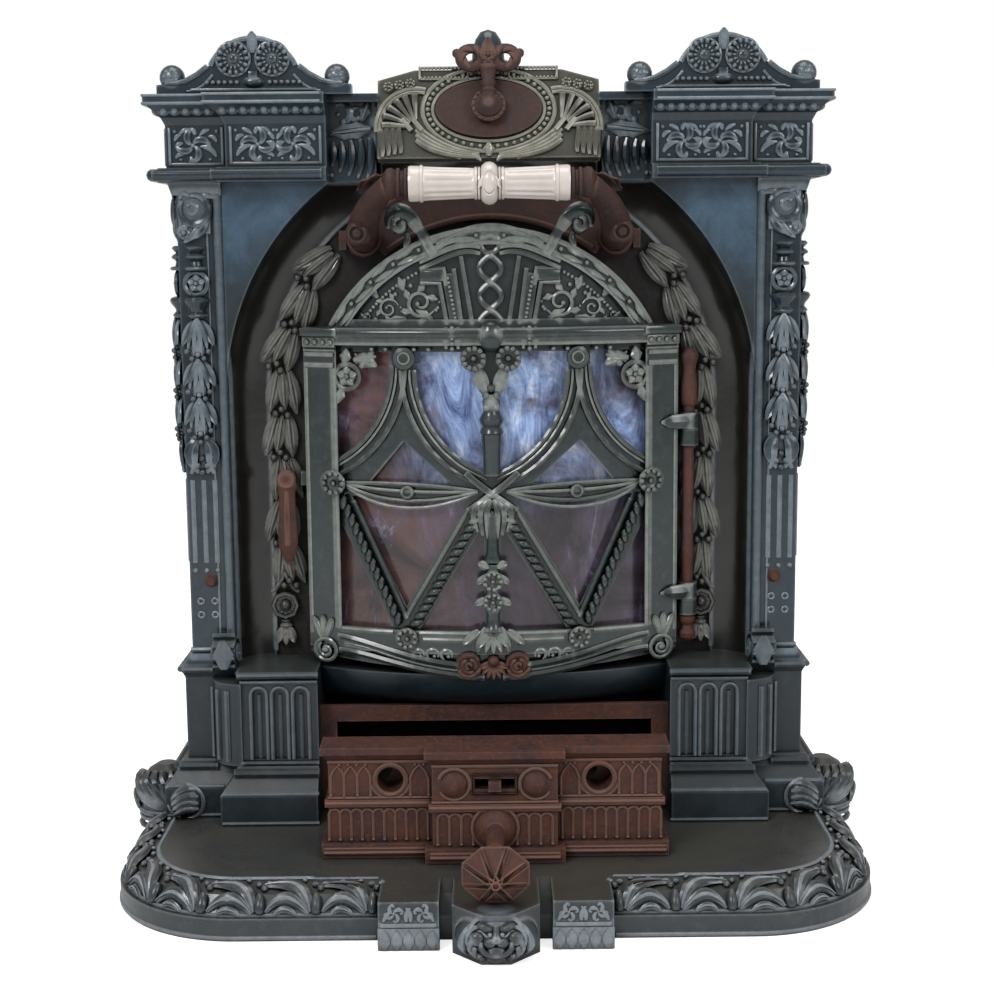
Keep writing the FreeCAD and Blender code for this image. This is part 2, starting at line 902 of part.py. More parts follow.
def make_crest():
    half = size.crest_half
    rise = size.crest_rise
    shoulder = half * 2 / 3
    outline = [(-half, 0), (half, 0), (half, rise - size.wall * 2), (shoulder, rise - size.wall / 2),
               (shoulder / 2, rise - size.wall / 2, shoulder, 1), (-shoulder / 2, rise - size.wall / 2),
               (-shoulder, rise - size.wall / 2), (-half, rise - size.wall * 2)]
    plate = front_plate("crest_plate", [outline], size.crest_depth, size.crest_depth)
    plate.Placement = crest_place
    ledge = box("crest_ledge", -half, crest_foot_y + size.crest_depth / 2, size.crest_level, half * 2,
                panel_back - crest_foot_y - size.crest_depth / 2, size.ledge_height)
    solid = fuse("crest_fuse", [plate, ledge])
    bore = bore_along_spindle("crest_bore", size.spindle_radius + size.running_fit)
    keep("crest", cut("crest_cut", solid, [bore]))
    ring = doc.addObject("Part::Ellipse", "oval_line")
    bind(ring, "MajorRadius", size.oval_half_width)
    bind(ring, "MinorRadius", size.oval_half_height)
    plate = doc.addObject("Part::Extrusion", "oval_solid")
    plate.Base = ring
    plate.DirMode = "Custom"
    plate.Dir = Vector(0, 0, 1)
    bind(plate, "LengthFwd", size.oval_depth)
    plate.Solid = True
    plate.Placement.Rotation = turns["front"]
    on_crest(plate)
    bore = bore_along_spindle("oval_bore", size.spindle_radius + size.running_fit)
    keep("oval_plate", cut("oval_cut", plate, [bore]))


def make_damper():
    spindle_start = size.oval_depth + size.key_gap + size.key_depth
    end_past = size.flue_radius + size.flue_wall
    spindle = doc.addObject("Part::Cylinder", "damper_spindle")
    bind(spindle, "Radius", size.spindle_radius)
    spindle.Height = spindle_start.value + flue_run + end_past.value
    spindle.Placement.Rotation = Rotation(Vector(1, 0, 0), -90)
    keep("damper_spindle", on_crest(spindle, -spindle_start))

    # Key: a hub with a stem and a three-lobed bow.
    depth = size.key_depth
    hub = cylinder("key_hub", 0, 0, 0, size.key_hub_radius, depth, "front")
    rise = size.key_height - size.bow_radius * 2
    stem = box("key_stem", -size.spindle_radius, -depth, size.spindle_radius, size.spindle_radius * 2,
               depth, rise)
    lobes = [cylinder(f"key_lobe_{name}", size.bow_radius * side, 0, rise, size.bow_radius, depth, "front")
             for name, side in sides]
    lobes.append(cylinder("key_lobe_top", 0, 0, rise + size.bow_radius, size.bow_radius, depth, "front"))
    eyes = [cylinder(f"key_eye_{name}", size.bow_radius * side, 0, rise, size.bow_radius / 2, depth, "front")
            for name, side in sides]
    bore = cylinder("key_bore", 0, 0, 0, size.spindle_radius, depth, "front")
    key = cut("key_cut", fuse("key_fuse", [hub, stem] + lobes), [bore] + eyes)
    keep("damper_key", on_crest(key, -(size.oval_depth + size.key_gap)))

    # Butterfly disc on a sleeve, edge-on to the flue when the key stands upright.
    disc_radius = size.flue_radius - size.throat_step - size.disc_gap
    disc = doc.addObject("Part::Cylinder", "disc_plate")
    bind(disc, "Radius", disc_radius)
    bind(disc, "Height", size.disc_thickness)
    disc.Placement.Rotation = turns["right"]
    bind(disc, "Placement.Base.x", -size.disc_thickness / 2)
    sleeve = cylinder("disc_sleeve", 0, size.sleeve_half, 0, size.sleeve_radius, size.sleeve_half * 2, "front")
    bore = cylinder("disc_bore", 0, disc_radius, 0, size.spindle_radius, disc_radius * 2, "front")
    damper = cut("disc_cut", fuse("disc_fuse", [disc, sleeve]), [bore])
    keep("damper_disc", on_crest(damper, flue_run))


def make_flue():
    inner = size.flue_radius
    throat = inner - size.throat_step
    outer = inner + size.flue_wall
    top = size.top_level
    foot = top - size.throat_length
    seat = top + size.collar_height - size.socket_length
    body = new_body("flue_body")
    sketch = sketch_on(body, "XZ_Plane", 0)
    add_loop(sketch, [(throat, foot), (outer, foot), (outer, top), (outer + size.flange_width, top),
                      (outer + size.flange_width, top + size.wall), (outer, top + size.wall),
                      (outer, top + size.collar_height), (inner, top + size.collar_height),
                      (inner, seat), (throat, seat)])
    revolve(body, sketch, "Z_Axis", 360)
    place(body, 0, size.flue_reach, 0)
    bore = bore_along_spindle("flue_bore", size.spindle_radius + size.running_fit)
    keep("flue_collar", cut("flue_cut", body, [bore]))

    wing_back = front + size.wing_setback + size.wall
    crest_back = crest_place.multVec(Vector(0, size.crest_depth.value, 0)).y
    crest_back += (top.value - size.crest_level.value) * math.tan(math.radians(tilt.value)) + size.mica_gap.value * 3
    body = new_body("top_slab")
    layer(body, [(-size.wing_inner, crest_back), (size.wing_inner, crest_back), (size.wing_inner, wing_back),
                 (size.frieze_inner, wing_back), (size.frieze_inner, size.back_reach),
                 (-size.frieze_inner, size.back_reach), (-size.frieze_inner, wing_back),
                 (-size.wing_inner, wing_back)], top - size.wall, size.wall)
    hole = cylinder("top_hole", 0, size.flue_reach, top - size.wall, outer, size.wall)
    bore = bore_along_spindle("top_bore", size.spindle_radius + size.door_gap)
    keep("top_plate", cut("top_cut", body, [hole, bore]))


def mouth_loop():
    half = size.mouth_half
    spring = size.mouth_spring
    return [(-half, size.plinth_level + size.wall), (half, size.plinth_level + size.wall), (half, spring, half, 1),
            (0, spring + half, half, 1), (-half, spring)]


def make_mouth():
    slot_foot = size.mouth_spring + size.mouth_half + size.wall * 2
    slot = [(-size.slot_half, slot_foot), (size.slot_half, slot_foot),
            (size.slot_half, slot_foot + size.slot_height), (-size.slot_half, slot_foot + size.slot_height)]
    keep("mouth_plate", front_plate("mouth_plate", [tee_outline(), mouth_loop(), slot],
                                    panel_back + size.wall, size.wall))


rod_y = front + size.rod_setback
pivot_y = panel_back - size.flap_setout


def bracket_levels():
    return [level - size.knuckle_height - size.knuckle_play
            for level in (size.upper_knuckle_level, size.lower_knuckle_level)]


def hinge_stems(name, reach):
    # Stems of the fixed hinge rings, back to the mouth plate.
    width = size.rod_radius * 2
    return [box(f"{name}_{number}", size.rod_offset - width / 2, rod_y, level, width,
                reach - rod_y, size.knuckle_height)
            for number, level in enumerate(bracket_levels())]


def flap_ear(name, side):
    # Ear on the mouth plate that holds a flap pivot.
    x, length = across(size.boss_offset + size.boss_radius + size.door_gap,
                       size.boss_offset + size.boss_radius + size.door_gap + size.wall, side)
    return box(name, x, pivot_y - size.pivot_radius * 2, size.pivot_level - size.pivot_radius * 2, length,
               panel_back - pivot_y + size.pivot_radius * 2, size.pivot_radius * 4)


def latch_shoulder(name):
    start = panel_back
    return cylinder(name, -size.latch_offset, start, size.latch_level, size.latch_head_radius,
                    size.garland_width / 2 + size.latch_setout - size.knuckle_play, "front")


def make_garlands():
    radius = size.garland_width / 2
    for name, side in sides:
        body = new_body(f"garland_body_{name}")
        middle = size.garland_radius * side
        half_round = [(middle - radius, panel_back, radius, 1), (middle, panel_back - radius, radius, 1),
                      (middle + radius, panel_back)]
        sketch = sketch_on(body, "XY_Plane", 0)
        add_loop(sketch, half_round)
        leg = pad(body, sketch, size.niche_spring - size.garland_foot)
        leg.Reversed = True
        sketch = sketch_on(body, "XY_Plane", 0)
        add_loop(sketch, half_round)
        revolve(body, sketch, "Y_Axis", size.garland_end, midplane=False, backwards=side > 0)
        place(body, 0, 0, size.niche_spring)
        tools = [flap_ear(f"garland_ear_cut_{name}", side)]
        if side > 0:
            tools += hinge_stems("garland_stem_cut", panel_back)
        else:
            tools.append(latch_shoulder("garland_pin_cut"))
        keep(f"garland_{name}", cut(f"garland_cut_{name}", body, tools))


bow_centre_y = front - size.relief * 2 - size.door_bow + size.bow_curve


def bow_shell(name, outer, inner, foot, top):
    # A slice of bowed wall between two radii, standing on the bow's axis.
    solid = cylinder(f"{name}_outer", 0, bow_centre_y, foot, outer, top - foot)
    hollow = cylinder(f"{name}_inner", 0, bow_centre_y, foot, inner, top - foot)
    return cut(name, solid, [hollow])


def tympanum_centre():
    return size.bar_level + size.bar_height - arc_height(size.tympanum_radius, size.tympanum_half)


def tympanum_loop(inset, foot):
    # Arched outline above a level, drawn in by an inset.
    centre = tympanum_centre()
    radius = size.tympanum_radius - inset
    half = arc_height(radius, foot - centre)
    return [(half, foot, radius, 1), (0, centre + radius, radius, 1), (-half, foot)]


def door_outline(inset):
    half = size.door_half - inset
    head = size.bar_level + size.bar_height - inset
    foot = size.door_foot + inset
    sweep = (half * half + size.door_dip * size.door_dip) / (size.door_dip * 2)
    return ([(-half, foot, sweep, 1), (half, foot), (half, head)]
            + tympanum_loop(inset, head) + [(-half, head)])


def pane_loops():
    # Glazed openings between stiles, staff, drapery straps, tie bars and rope bars, for the right half.
    stile = size.window_half
    staff = size.mullion / 2
    head = size.bar_level - size.wall
    foot = size.window_foot
    tie_top = size.tie_level + size.tie_height / 2
    tie_foot = size.tie_level - size.tie_height / 2
    ring = size.vee_offset
    rope = size.rope_width
    sweep = size.strap_radius
    strap = size.rope_width
    upper_side = [(stile, tie_top + strap * 2), (stile, head), (ring + strap, head),
                  (ring + strap, head - strap * 2, sweep, 1)]
    upper_middle = [(staff, head), (staff, tie_top + strap, sweep, 1),
                    (ring - strap, head - strap * 2), (ring - strap, head)]
    between = [(staff + strap * 3, tie_top), (stile - strap * 3, tie_top), (ring, tie_top + size.strap_dip)]
    slim = size.vee_gap
    vee_foot = foot + rope
    outside = [(stile, tie_foot - slim * 2), (ring + slim, foot), (stile, foot)]
    inside = [(ring, vee_foot + slim), (stile - slim, tie_foot), (staff + slim, tie_foot)]
    beside = [(staff, foot), (ring - slim, foot), (staff, tie_foot - slim * 2)]
    return [upper_side, upper_middle, between, outside, inside, beside]


def make_door():
    back = panel_back - size.door_gap
    depth = back - (bow_centre_y - size.bow_curve) + size.relief
    low = size.door_foot - size.door_dip * 2
    bar_top = size.bar_level + size.bar_height
    high = bar_top + size.tympanum_radius
    outer_round = cylinder("door_round", 0, bow_centre_y, low, size.bow_curve, high - low)
    inner_round = cylinder("door_inner_round", 0, bow_centre_y, low, size.bow_curve - size.door_wall, high - low)
    outer_plate = front_plate("door_block", [door_outline(as_size(0))], back, depth)
    inner_plate = front_plate("door_space", [door_outline(size.door_wall)], back, depth)
    shell = cut("door_shell", common("door_outer", [outer_plate, outer_round]),
                [common("door_inner", [inner_plate, inner_round])])

    # Raised stiles, rails and the cross bar stand proud of the bowed wall.
    raised = bow_shell("door_relief_wall", size.bow_curve + size.relief, size.bow_curve - size.relief, low, high)
    bar_wall = bow_shell("door_bar_wall", size.bow_curve + size.bar_relief, size.bow_curve - size.relief, low, high)
    stile_width = size.door_half - size.window_half
    frames = []
    ahead = bow_centre_y - size.bow_curve - size.bar_relief * 2
    for name, side in sides:
        x, length = across(size.window_half, size.door_half, side)
        frames.append(box(f"door_stile_{name}", x, ahead, size.door_foot + size.wall, length,
                          panel_back - ahead - size.wall, size.bar_level - size.door_foot - size.wall))
    frames.append(box("door_rail", -size.window_half, ahead, size.door_foot + size.wall, size.window_half * 2,
                      panel_back - ahead - size.wall, size.window_foot - size.door_foot - size.wall))
    framing = common("door_framing", [raised, fuse("door_frames", frames)])
    beam = box("door_beam", -size.door_half, ahead, size.bar_level, size.door_half * 2,
               panel_back - ahead - size.wall, size.bar_height)
    bar = common("door_bar", [bar_wall, beam])
    rim_width = stile_width / 2
    rim_loops = [tympanum_loop(as_size(0), bar_top), tympanum_loop(rim_width, bar_top + rim_width / 2)]
    rim = common("door_rim", [raised, front_plate("door_rim_plate", rim_loops, back, depth)])
    lug = box("door_lug", -size.door_half - size.wall, rod_y + size.wall / 2,
              size.latch_level - size.lug_height / 2, size.wall * 2, size.wall * 2, size.lug_height)
    lug_trim = box("door_lug_trim", -size.door_half - size.wall, ahead, low, size.wall, back - ahead, high - low)
    casting = fuse("door_fuse", [shell, framing, bar, rim, common("door_lug_end", [lug, lug_trim])])

    panes = pane_loops()
    windows = front_plate("door_windows", panes + [mirrored(points) for points in panes], back, depth)
    keep("door_casting", cut("door_cut", casting, [windows]))
    make_mica()
    make_door_fittings()


def make_mica():
    outer = size.bow_curve - size.door_wall - size.mica_gap
    inner = outer - size.mica_thickness
    half = size.window_half + size.strip_width
    foot = size.window_foot - size.strip_width / 2
    head = size.bar_level - size.wall + size.strip_width / 2
    join = size.tie_level
    ahead = bow_centre_y - size.bow_curve
    reach = panel_back - ahead
    for name, low, high in (("lower", foot, join - size.mica_gap), ("upper", join, head)):
        wall = bow_shell(f"mica_wall_{name}", outer, inner, low, high)
        keep(f"mica_{name}", common(f"mica_common_{name}", [
            wall, box(f"mica_box_{name}", -half, ahead, low, half * 2, reach, high - low)]))
    wall = bow_shell("strip_wall", inner - size.mica_gap, inner - size.mica_gap - size.mica_thickness * 3, foot, head)
    strips = fuse("strip_boxes", [
        box(f"strip_box_{number}", -half, ahead, level, half * 2, reach, size.strip_width)
        for number, level in enumerate((foot, join - size.strip_width / 2, head - size.strip_width))])
    keep("mica_strips", common("mica_strips_common", [wall, strips]))


def make_door_fittings():
    # Knuckles on the door's hinge side.
    rings = []
    stems = []
    bores = []
    for number, level in enumerate((size.upper_knuckle_level, size.lower_knuckle_level)):
        rings.append(cylinder(f"knuckle_ring_{number}", size.rod_offset, rod_y, level, size.knuckle_radius,
                              size.knuckle_height))
        stems.append(box(f"knuckle_stem_{number}", size.door_half, rod_y, level, size.rod_offset - size.door_half,
                         size.knuckle_radius, size.knuckle_height))
        bores.append(cylinder(f"knuckle_bore_{number}", size.rod_offset, rod_y, level,
                              size.rod_radius + size.running_fit, size.knuckle_height))
    keep("door_knuckles", cut("knuckle_cut", fuse("knuckle_fuse", rings + stems), bores))


def make_hinge():
    rod = cylinder("rod_shaft", size.rod_offset, rod_y, size.rod_foot, size.rod_radius,
                   size.rod_top - size.rod_foot)
    foot = cylinder("rod_foot_ring", size.rod_offset, rod_y, size.rod_foot, size.finial_radius, size.finial_height)
    head = cone("rod_finial", size.rod_offset, rod_y, size.rod_top - size.finial_height, size.finial_radius,
                size.rod_radius, size.finial_height)
    keep("hinge_rod", fuse("rod_fuse", [rod, foot, head]))
    rings = [cylinder(f"bracket_ring_{number}", size.rod_offset, rod_y, level, size.knuckle_radius,
                      size.knuckle_height) for number, level in enumerate(bracket_levels())]
    bores = [cylinder(f"bracket_bore_{number}", size.rod_offset, rod_y, level, size.rod_radius,
                      size.knuckle_height) for number, level in enumerate(bracket_levels())]
    keep("hinge_brackets", cut("bracket_cut", fuse("bracket_fuse", rings + hinge_stems("bracket_stem", panel_back)),
                               bores))


def make_latch():
    half = size.latch_half_width
    x = -size.latch_offset
    level = size.latch_level
    back = panel_back - size.garland_width / 2 - size.latch_setout
    foot = level - size.latch_length
    lever = front_plate("latch_plate", [[
        (x + half, level, half, 1), (x, level + half, half, 1), (x - half, level),
        (x - half / 2, foot, half / 2, 1), (x, foot - half / 2, half / 2, 1), (x + half / 2, foot)]],
        back, size.latch_depth)
    bore = cylinder("latch_bore", x, back, level, size.latch_pin_radius + size.running_fit, size.latch_depth, "front")
    keep("latch_lever", cut("latch_cut", lever, [bore]))
    shank = cylinder("latch_shank", x, panel_back, level, size.latch_pin_radius,
                     panel_back - back + size.latch_depth + size.knuckle_play, "front")
    head = cylinder("latch_head", x, back - size.latch_depth - size.knuckle_play, level,
                    size.latch_head_radius, size.latch_depth / 2, "front")
    keep("latch_pin", fuse("latch_pin_fuse", [shank, head, latch_shoulder("latch_shoulder")]))


def make_flap():
    # Arched plate above the door, with two arms that carry the grip.
    back = panel_back - size.wall
    angle = math.radians(size.flap_angle.value)
    sine = Size(math.sin(angle), f"sin({size.flap_angle.text} * 1 deg)")
    cosine = Size(math.cos(angle), f"cos({size.flap_angle.text} * 1 deg)")

    def spot(radius, side):
        return radius * sine * side, size.niche_spring + radius * cosine

    outline = [spot(size.flap_inner, -1) + (size.flap_inner, -1), spot(size.flap_inner, 1),
               spot(size.flap_outer, 1) + (size.flap_outer, 1), spot(size.flap_outer, -1)]
    keep("flap_plate", front_plate("flap_plate", [outline], back, size.flap_depth))
    grip_y = front - size.grip_setout
    face = back - size.flap_depth
    for name, side in sides:
        boss_x = size.boss_offset * side
        boss = cylinder(f"arm_boss_{name}", boss_x, face, size.pivot_level, size.boss_radius,
                        size.boss_depth, "front")
        eye_start, length = across(size.grip_half + size.ferrule_length,
                                   size.grip_half + size.ferrule_length + size.eye_length, side)
        eye = cylinder(f"arm_eye_{name}", eye_start, grip_y, size.grip_level, size.eye_radius,
                       length, "right")
        reach = (size.grip_half + size.ferrule_length + size.eye_length / 2) * side
        bar = rod_between(f"arm_bar_{name}", (boss_x, face - size.boss_depth / 2, size.pivot_level),
                          (reach, grip_y, size.grip_level), size.arm_radius)
        start, length = across(size.boss_offset, size.boss_offset + size.boss_radius + size.door_gap
                               + size.wall, side)
        pin = cylinder(f"arm_pivot_{name}", start, pivot_y, size.pivot_level, size.pivot_radius, length, "right")
        hole = cylinder(f"arm_bore_{name}", eye_start, grip_y, size.grip_level, size.grip_rod_radius,
                        size.eye_length, "right")
        ring_start, length = across(size.grip_half, size.grip_half + size.ferrule_length, side)
        ring_space = cylinder(f"arm_ring_space_{name}", ring_start, grip_y, size.grip_level, size.grip_radius,
                              length, "right")
        keep(f"flap_arm_{name}", cut(f"arm_cut_{name}", fuse(f"arm_fuse_{name}", [boss, eye, bar, pin]),
                                     [hole, ring_space]))
    ears = fuse("ear_fuse", [flap_ear(f"ear_{name}", side) for name, side in sides])
    ear_half = size.boss_offset + size.boss_radius + size.door_gap + size.wall
    ear_bore = cylinder("ear_bore", -ear_half, pivot_y, size.pivot_level, size.pivot_radius + size.running_fit,
                        ear_half * 2, "right")
    keep("flap_ears", cut("ear_cut", ears, [ear_bore]))
    make_grip(grip_y)


def turned_on_x(name, points):
    # A turned piece about a line along X; points are distances along the line and radii.
    body = new_body(name)
    sketch = sketch_on(body, "XZ_Plane", 0)
    add_loop(sketch, points)
    revolve(body, sketch, "X_Axis", 360)
    return body


def make_grip(grip_y):
    rod = size.grip_rod_radius
    end = size.grip_half + size.ferrule_length + size.eye_length
    keep("grip_rod", cylinder("grip_rod", -end, grip_y, size.grip_level, rod, end * 2, "right"))
    egg = turned_on_x("grip_egg", [(-size.egg_half, rod), (size.egg_half, rod), (size.egg_half, size.grip_end_radius),
                                   (size.egg_half / 2, size.egg_radius), (-size.egg_half / 2, size.egg_radius),
                                   (-size.egg_half, size.grip_end_radius)])
    place(egg, 0, grip_y, size.grip_level)
    keep("grip_egg", egg)
    ferrules = []
    for name, side in sides:
        half = turned_on_x(f"grip_{name}", [
            (size.egg_half * side, rod), (size.grip_half * side, rod), (size.grip_half * side, size.grip_radius),
            ((size.grip_half - size.ferrule_length) * side, size.grip_radius),
            (size.egg_half * side, size.grip_end_radius)])
        place(half, 0, grip_y, size.grip_level)
        keep(f"grip_{name}", half)
        x, length = across(size.grip_half, size.grip_half + size.ferrule_length, side)
        ring = cylinder(f"ferrule_ring_{name}", x, grip_y, size.grip_level, size.grip_end_radius, length, "right")
        hole = cylinder(f"ferrule_hole_{name}", x, grip_y, size.grip_level, rod, length, "right")
        ferrules.append(cut(f"ferrule_{name}", ring, [hole]))
    keep("ferrules", group("ferrule_pair", ferrules))


def make_apron():
    # Bowed ledge under the door, with a rounded lower edge.
    body = new_body("apron_turned")
    sketch = sketch_on(body, "XZ_Plane", 0)
    outer = size.bow_curve + size.apron_lip
    inner = outer - size.apron_width
    rise = size.apron_rise
    add_loop(sketch, [(inner, 0), (outer - rise, 0, rise, 1), (outer, rise), (inner, rise)])
    revolve(body, sketch, "Z_Axis", size.apron_angle)
    body.Placement.Rotation = Rotation(Vector(0, 0, 1), -90)
    place(body, 0, bow_centre_y, size.surround_level)
    ends = box("apron_ends", -bay_half, bow_centre_y - outer, size.surround_level, bay_half * 2, outer, rise)
    keep("apron", common("apron_common", [body, ends]))


surround_front = front - size.surround_setout


def make_surround():
    band = size.surround_band
    foot = size.plate_level
    keep("drawer_surround", front_plate("drawer_surround", [[
        (-bay_half, foot), (-bay_half + band, foot), (-bay_half + band, size.surround_level - band),
        (bay_half - band, size.surround_level - band), (bay_half - band, foot), (bay_half, foot),
        (bay_half, size.surround_level), (-bay_half, size.surround_level)]],
        surround_front + size.wall, size.wall))


def make_drawer():
    foot = size.plate_level + size.drawer_clearance
    face = front - size.drawer_setout
    back = face + size.drawer_front_depth
    moulding = size.moulding

    def plan(project):
        half = size.drawer_half - moulding + project
        middle = size.drawer_break_half + project
        reach = face - project
        ahead = face - size.drawer_break_reach - project
        return [(-half, back), (-half, reach), (-middle, reach), (-middle, ahead), (middle, ahead),
                (middle, reach), (half, reach), (half, back)]

    mid = size.hole_level - size.hole_radius * 2
    top = size.drawer_level - moulding * 2
    courses = [
        (foot, moulding * 2, moulding, moulding),
        (foot + moulding * 2, mid - foot - moulding * 2, 0, 0),
        (mid, moulding, moulding / 2, moulding / 2),
        (mid + moulding, top - mid - moulding, 0, 0),
        (top, moulding, 0, moulding),
        (top + moulding, moulding, moulding, moulding),
    ]
    block = course_stack("drawer_block", plan, courses)
    holes = [cylinder(f"drawer_hole_{name}", size.hole_offset * side, back, size.hole_level, size.hole_radius,
                      size.drawer_front_depth + moulding, "front") for name, side in sides]
    tab_way = box("drawer_tab_way", -size.tab_slot_half, face - size.drawer_break_reach - moulding,
                  size.hole_level - size.tab_height / 2 - size.drawer_clearance, size.tab_slot_half * 2,
                  size.drawer_front_depth + size.drawer_break_reach + moulding,
                  size.tab_height + size.drawer_clearance * 2)
    stem_hole = cylinder("drawer_stem_hole", 0, back, size.knob_level, size.stem_radius,
                         size.drawer_front_depth + size.drawer_break_reach + moulding, "front")
    keep("drawer_front", cut("drawer_cut", block, holes + [tab_way, stem_hole]))

    # Ash pan behind the front, open above, clear of the opening in the surround.
    pan_half = bay_half - size.surround_band - size.pan_clearance
    pan = box("pan_block", -pan_half, back, foot, pan_half * 2, size.pan_length, size.pan_height)
    space = box("pan_space", size.pan_wall - pan_half, back + size.pan_wall, foot + size.pan_wall,
                (pan_half - size.pan_wall) * 2, size.pan_length - size.pan_wall * 2, size.pan_height)
    keep("ash_pan", cut("pan_cut", pan, [space]))

    # Shutter behind the round holes, moved by a tab in the middle slot.
    play = size.drawer_clearance
    low = size.hole_level - size.shutter_height / 2
    plate = box("shutter_plate", -size.shutter_half, back + play, low, size.shutter_half * 2,
                size.shutter_thickness, size.shutter_height)
    tab = box("shutter_tab", -size.tab_half, face - size.drawer_break_reach - size.tab_height,
              size.hole_level - size.tab_height / 2, size.tab_half * 2,
              back + play + size.shutter_thickness - face + size.drawer_break_reach + size.tab_height,
              size.tab_height)
    # At rest the gates stand half across the holes; the tab's travel opens or shuts them.
    travel = size.tab_slot_half - size.tab_half
    gates = [cylinder(f"shutter_gate_{name}", size.hole_offset * side - travel, back + play + size.shutter_thickness,
                      size.hole_level, size.hole_radius, size.shutter_thickness, "front") for name, side in sides]
    keep("air_shutter", cut("shutter_cut", fuse("shutter_fuse", [plate, tab]), gates))

    # Knob on a long stem.
    stem_front = face - size.drawer_break_reach - size.stem_length
    stem = cylinder("stem_bar", 0, back, size.knob_level, size.stem_radius, back - stem_front, "front")
    keep("knob_stem", stem)
    half = size.knob_length / 2
    rear = cone("knob_rear", 0, stem_front, size.knob_level, size.knob_neck, size.knob_radius, half, "front")
    nose = cone("knob_nose", 0, stem_front - half, size.knob_level, size.knob_radius, size.stem_radius / 2,
                half, "front")
    keep("drawer_knob", fuse("knob_fuse", [rear, nose]))


def make_fire_bed():
    # Grate on two bearers, with bricks at both sides and the back.
    fire_front = panel_back + size.wall * 2
    rear = size.back_reach - size.wall
    brick = size.brick_thickness
    level = size.plinth_level + size.bearer_height
    bars = []
    count = int(size.grate_half.value * 2 / size.grate_pitch.value)
    first = -size.grate_pitch.value * (count - 1) / 2
    depth = rear - brick - fire_front
    for number in range(count):
        middle = first + size.grate_pitch.value * number
        bars.append(box(f"grate_bar_{number}", middle - size.grate_bar / 2, fire_front, level, size.grate_bar,
                        depth, size.grate_height))
    for number, y in enumerate((fire_front, rear - brick - size.grate_bar)):
        bars.append(box(f"grate_end_{number}", first, y, level, -2 * first, size.grate_bar, size.grate_height))
    keep("grate", fuse("grate_fuse", bars))
    inner = size.mouth_half
    bearer_half = inner + brick
    bearers = [box(f"bearer_{number}", -bearer_half, y, level - size.bearer_height, bearer_half * 2,
                   size.grate_bar * 2, size.bearer_height)
               for number, y in enumerate((fire_front, rear - brick - size.grate_bar * 2))]
    keep("grate_bearers", group("bearer_pair", bearers))
    bricks = []
    for name, side in sides:
        x, length = across(inner, inner + brick, side)
        bricks.append(box(f"firebrick_{name}", x, fire_front, level, length, depth, size.brick_height))
    keep("firebrick_sides", group("firebrick_pair", bricks))
    keep("firebrick_back", box("firebrick_back", -inner - brick, rear - brick, level, (inner + brick) * 2, brick,
                               size.brick_height))


def make_fasteners():
    # Tie rods from the hearth base to the entablature, with nuts on top, and two pilaster screws.
    rods = []
    for name, side in sides:
        shank = tie_shank(f"tie_shank_{name}", side)
        nut = doc.addObject("Part::Prism", f"tie_nut_{name}")
        nut.Polygon = 6
        bind(nut, "Circumradius", size.nut_radius)
        bind(nut, "Height", size.nut_height)
        place(nut, size.tie_rod_offset * side, panel_back + size.nut_radius * 2, size.cornice_level)
        rods.append(fuse(f"tie_rod_{name}", [shank, nut]))
    keep("tie_rods", group("tie_rod_pair", rods))
    screws = []
    for name, side in sides:
        x = (body_half - size.pilaster_width / 2) * side
        screws.append(cone(f"screw_{name}", x, front, size.screw_level, size.screw_radius, size.screw_radius / 2,
                           size.screw_radius, "front"))
    keep("pilaster_screws", group("screw_pair", screws))


make_hearth_base()
make_plinth()
make_drums()
make_front_panel()
make_pilasters()
make_drops()
make_walls()
make_entablature()
make_pediments()
make_crest()
make_damper()
make_flue()
make_mouth()
make_garlands()
make_door()
make_hinge()
make_latch()
make_flap()
make_apron()
make_surround()
make_drawer()
make_fire_bed()
make_fasteners()
doc.recompute()

failed = [item.Name for item in doc.Objects if "Invalid" in item.State or "Error" in item.State]
if failed:
    raise RuntimeError(f"failed objects: {failed}")
unsound = [label for label, item in parts.items() if item.Shape.isNull() or not item.Shape.isValid()]
if unsound:
    raise RuntimeError(f"pieces without a valid shape: {unsound}")

os.makedirs("parts", exist_ok=True)
for label, item in parts.items():
    item.Shape.exportStep(f"parts/{label}.step")
    bounds = item.Shape.BoundBox
    print(f"{label}: {len(item.Shape.Solids)} solids, {item.Shape.Volume / 1000:.1f} cm3,"
          f" X {bounds.XMin:.1f} {bounds.XMax:.1f}, Y {bounds.YMin:.1f} {bounds.YMax:.1f},"
          f" Z {bounds.ZMin:.1f} {bounds.ZMax:.1f}")
print(f"{len(parts)} pieces")
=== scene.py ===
import json
import math

import bmesh
import bpy
from mathutils import Matrix, Vector
from mathutils.geometry import interpolate_bezier

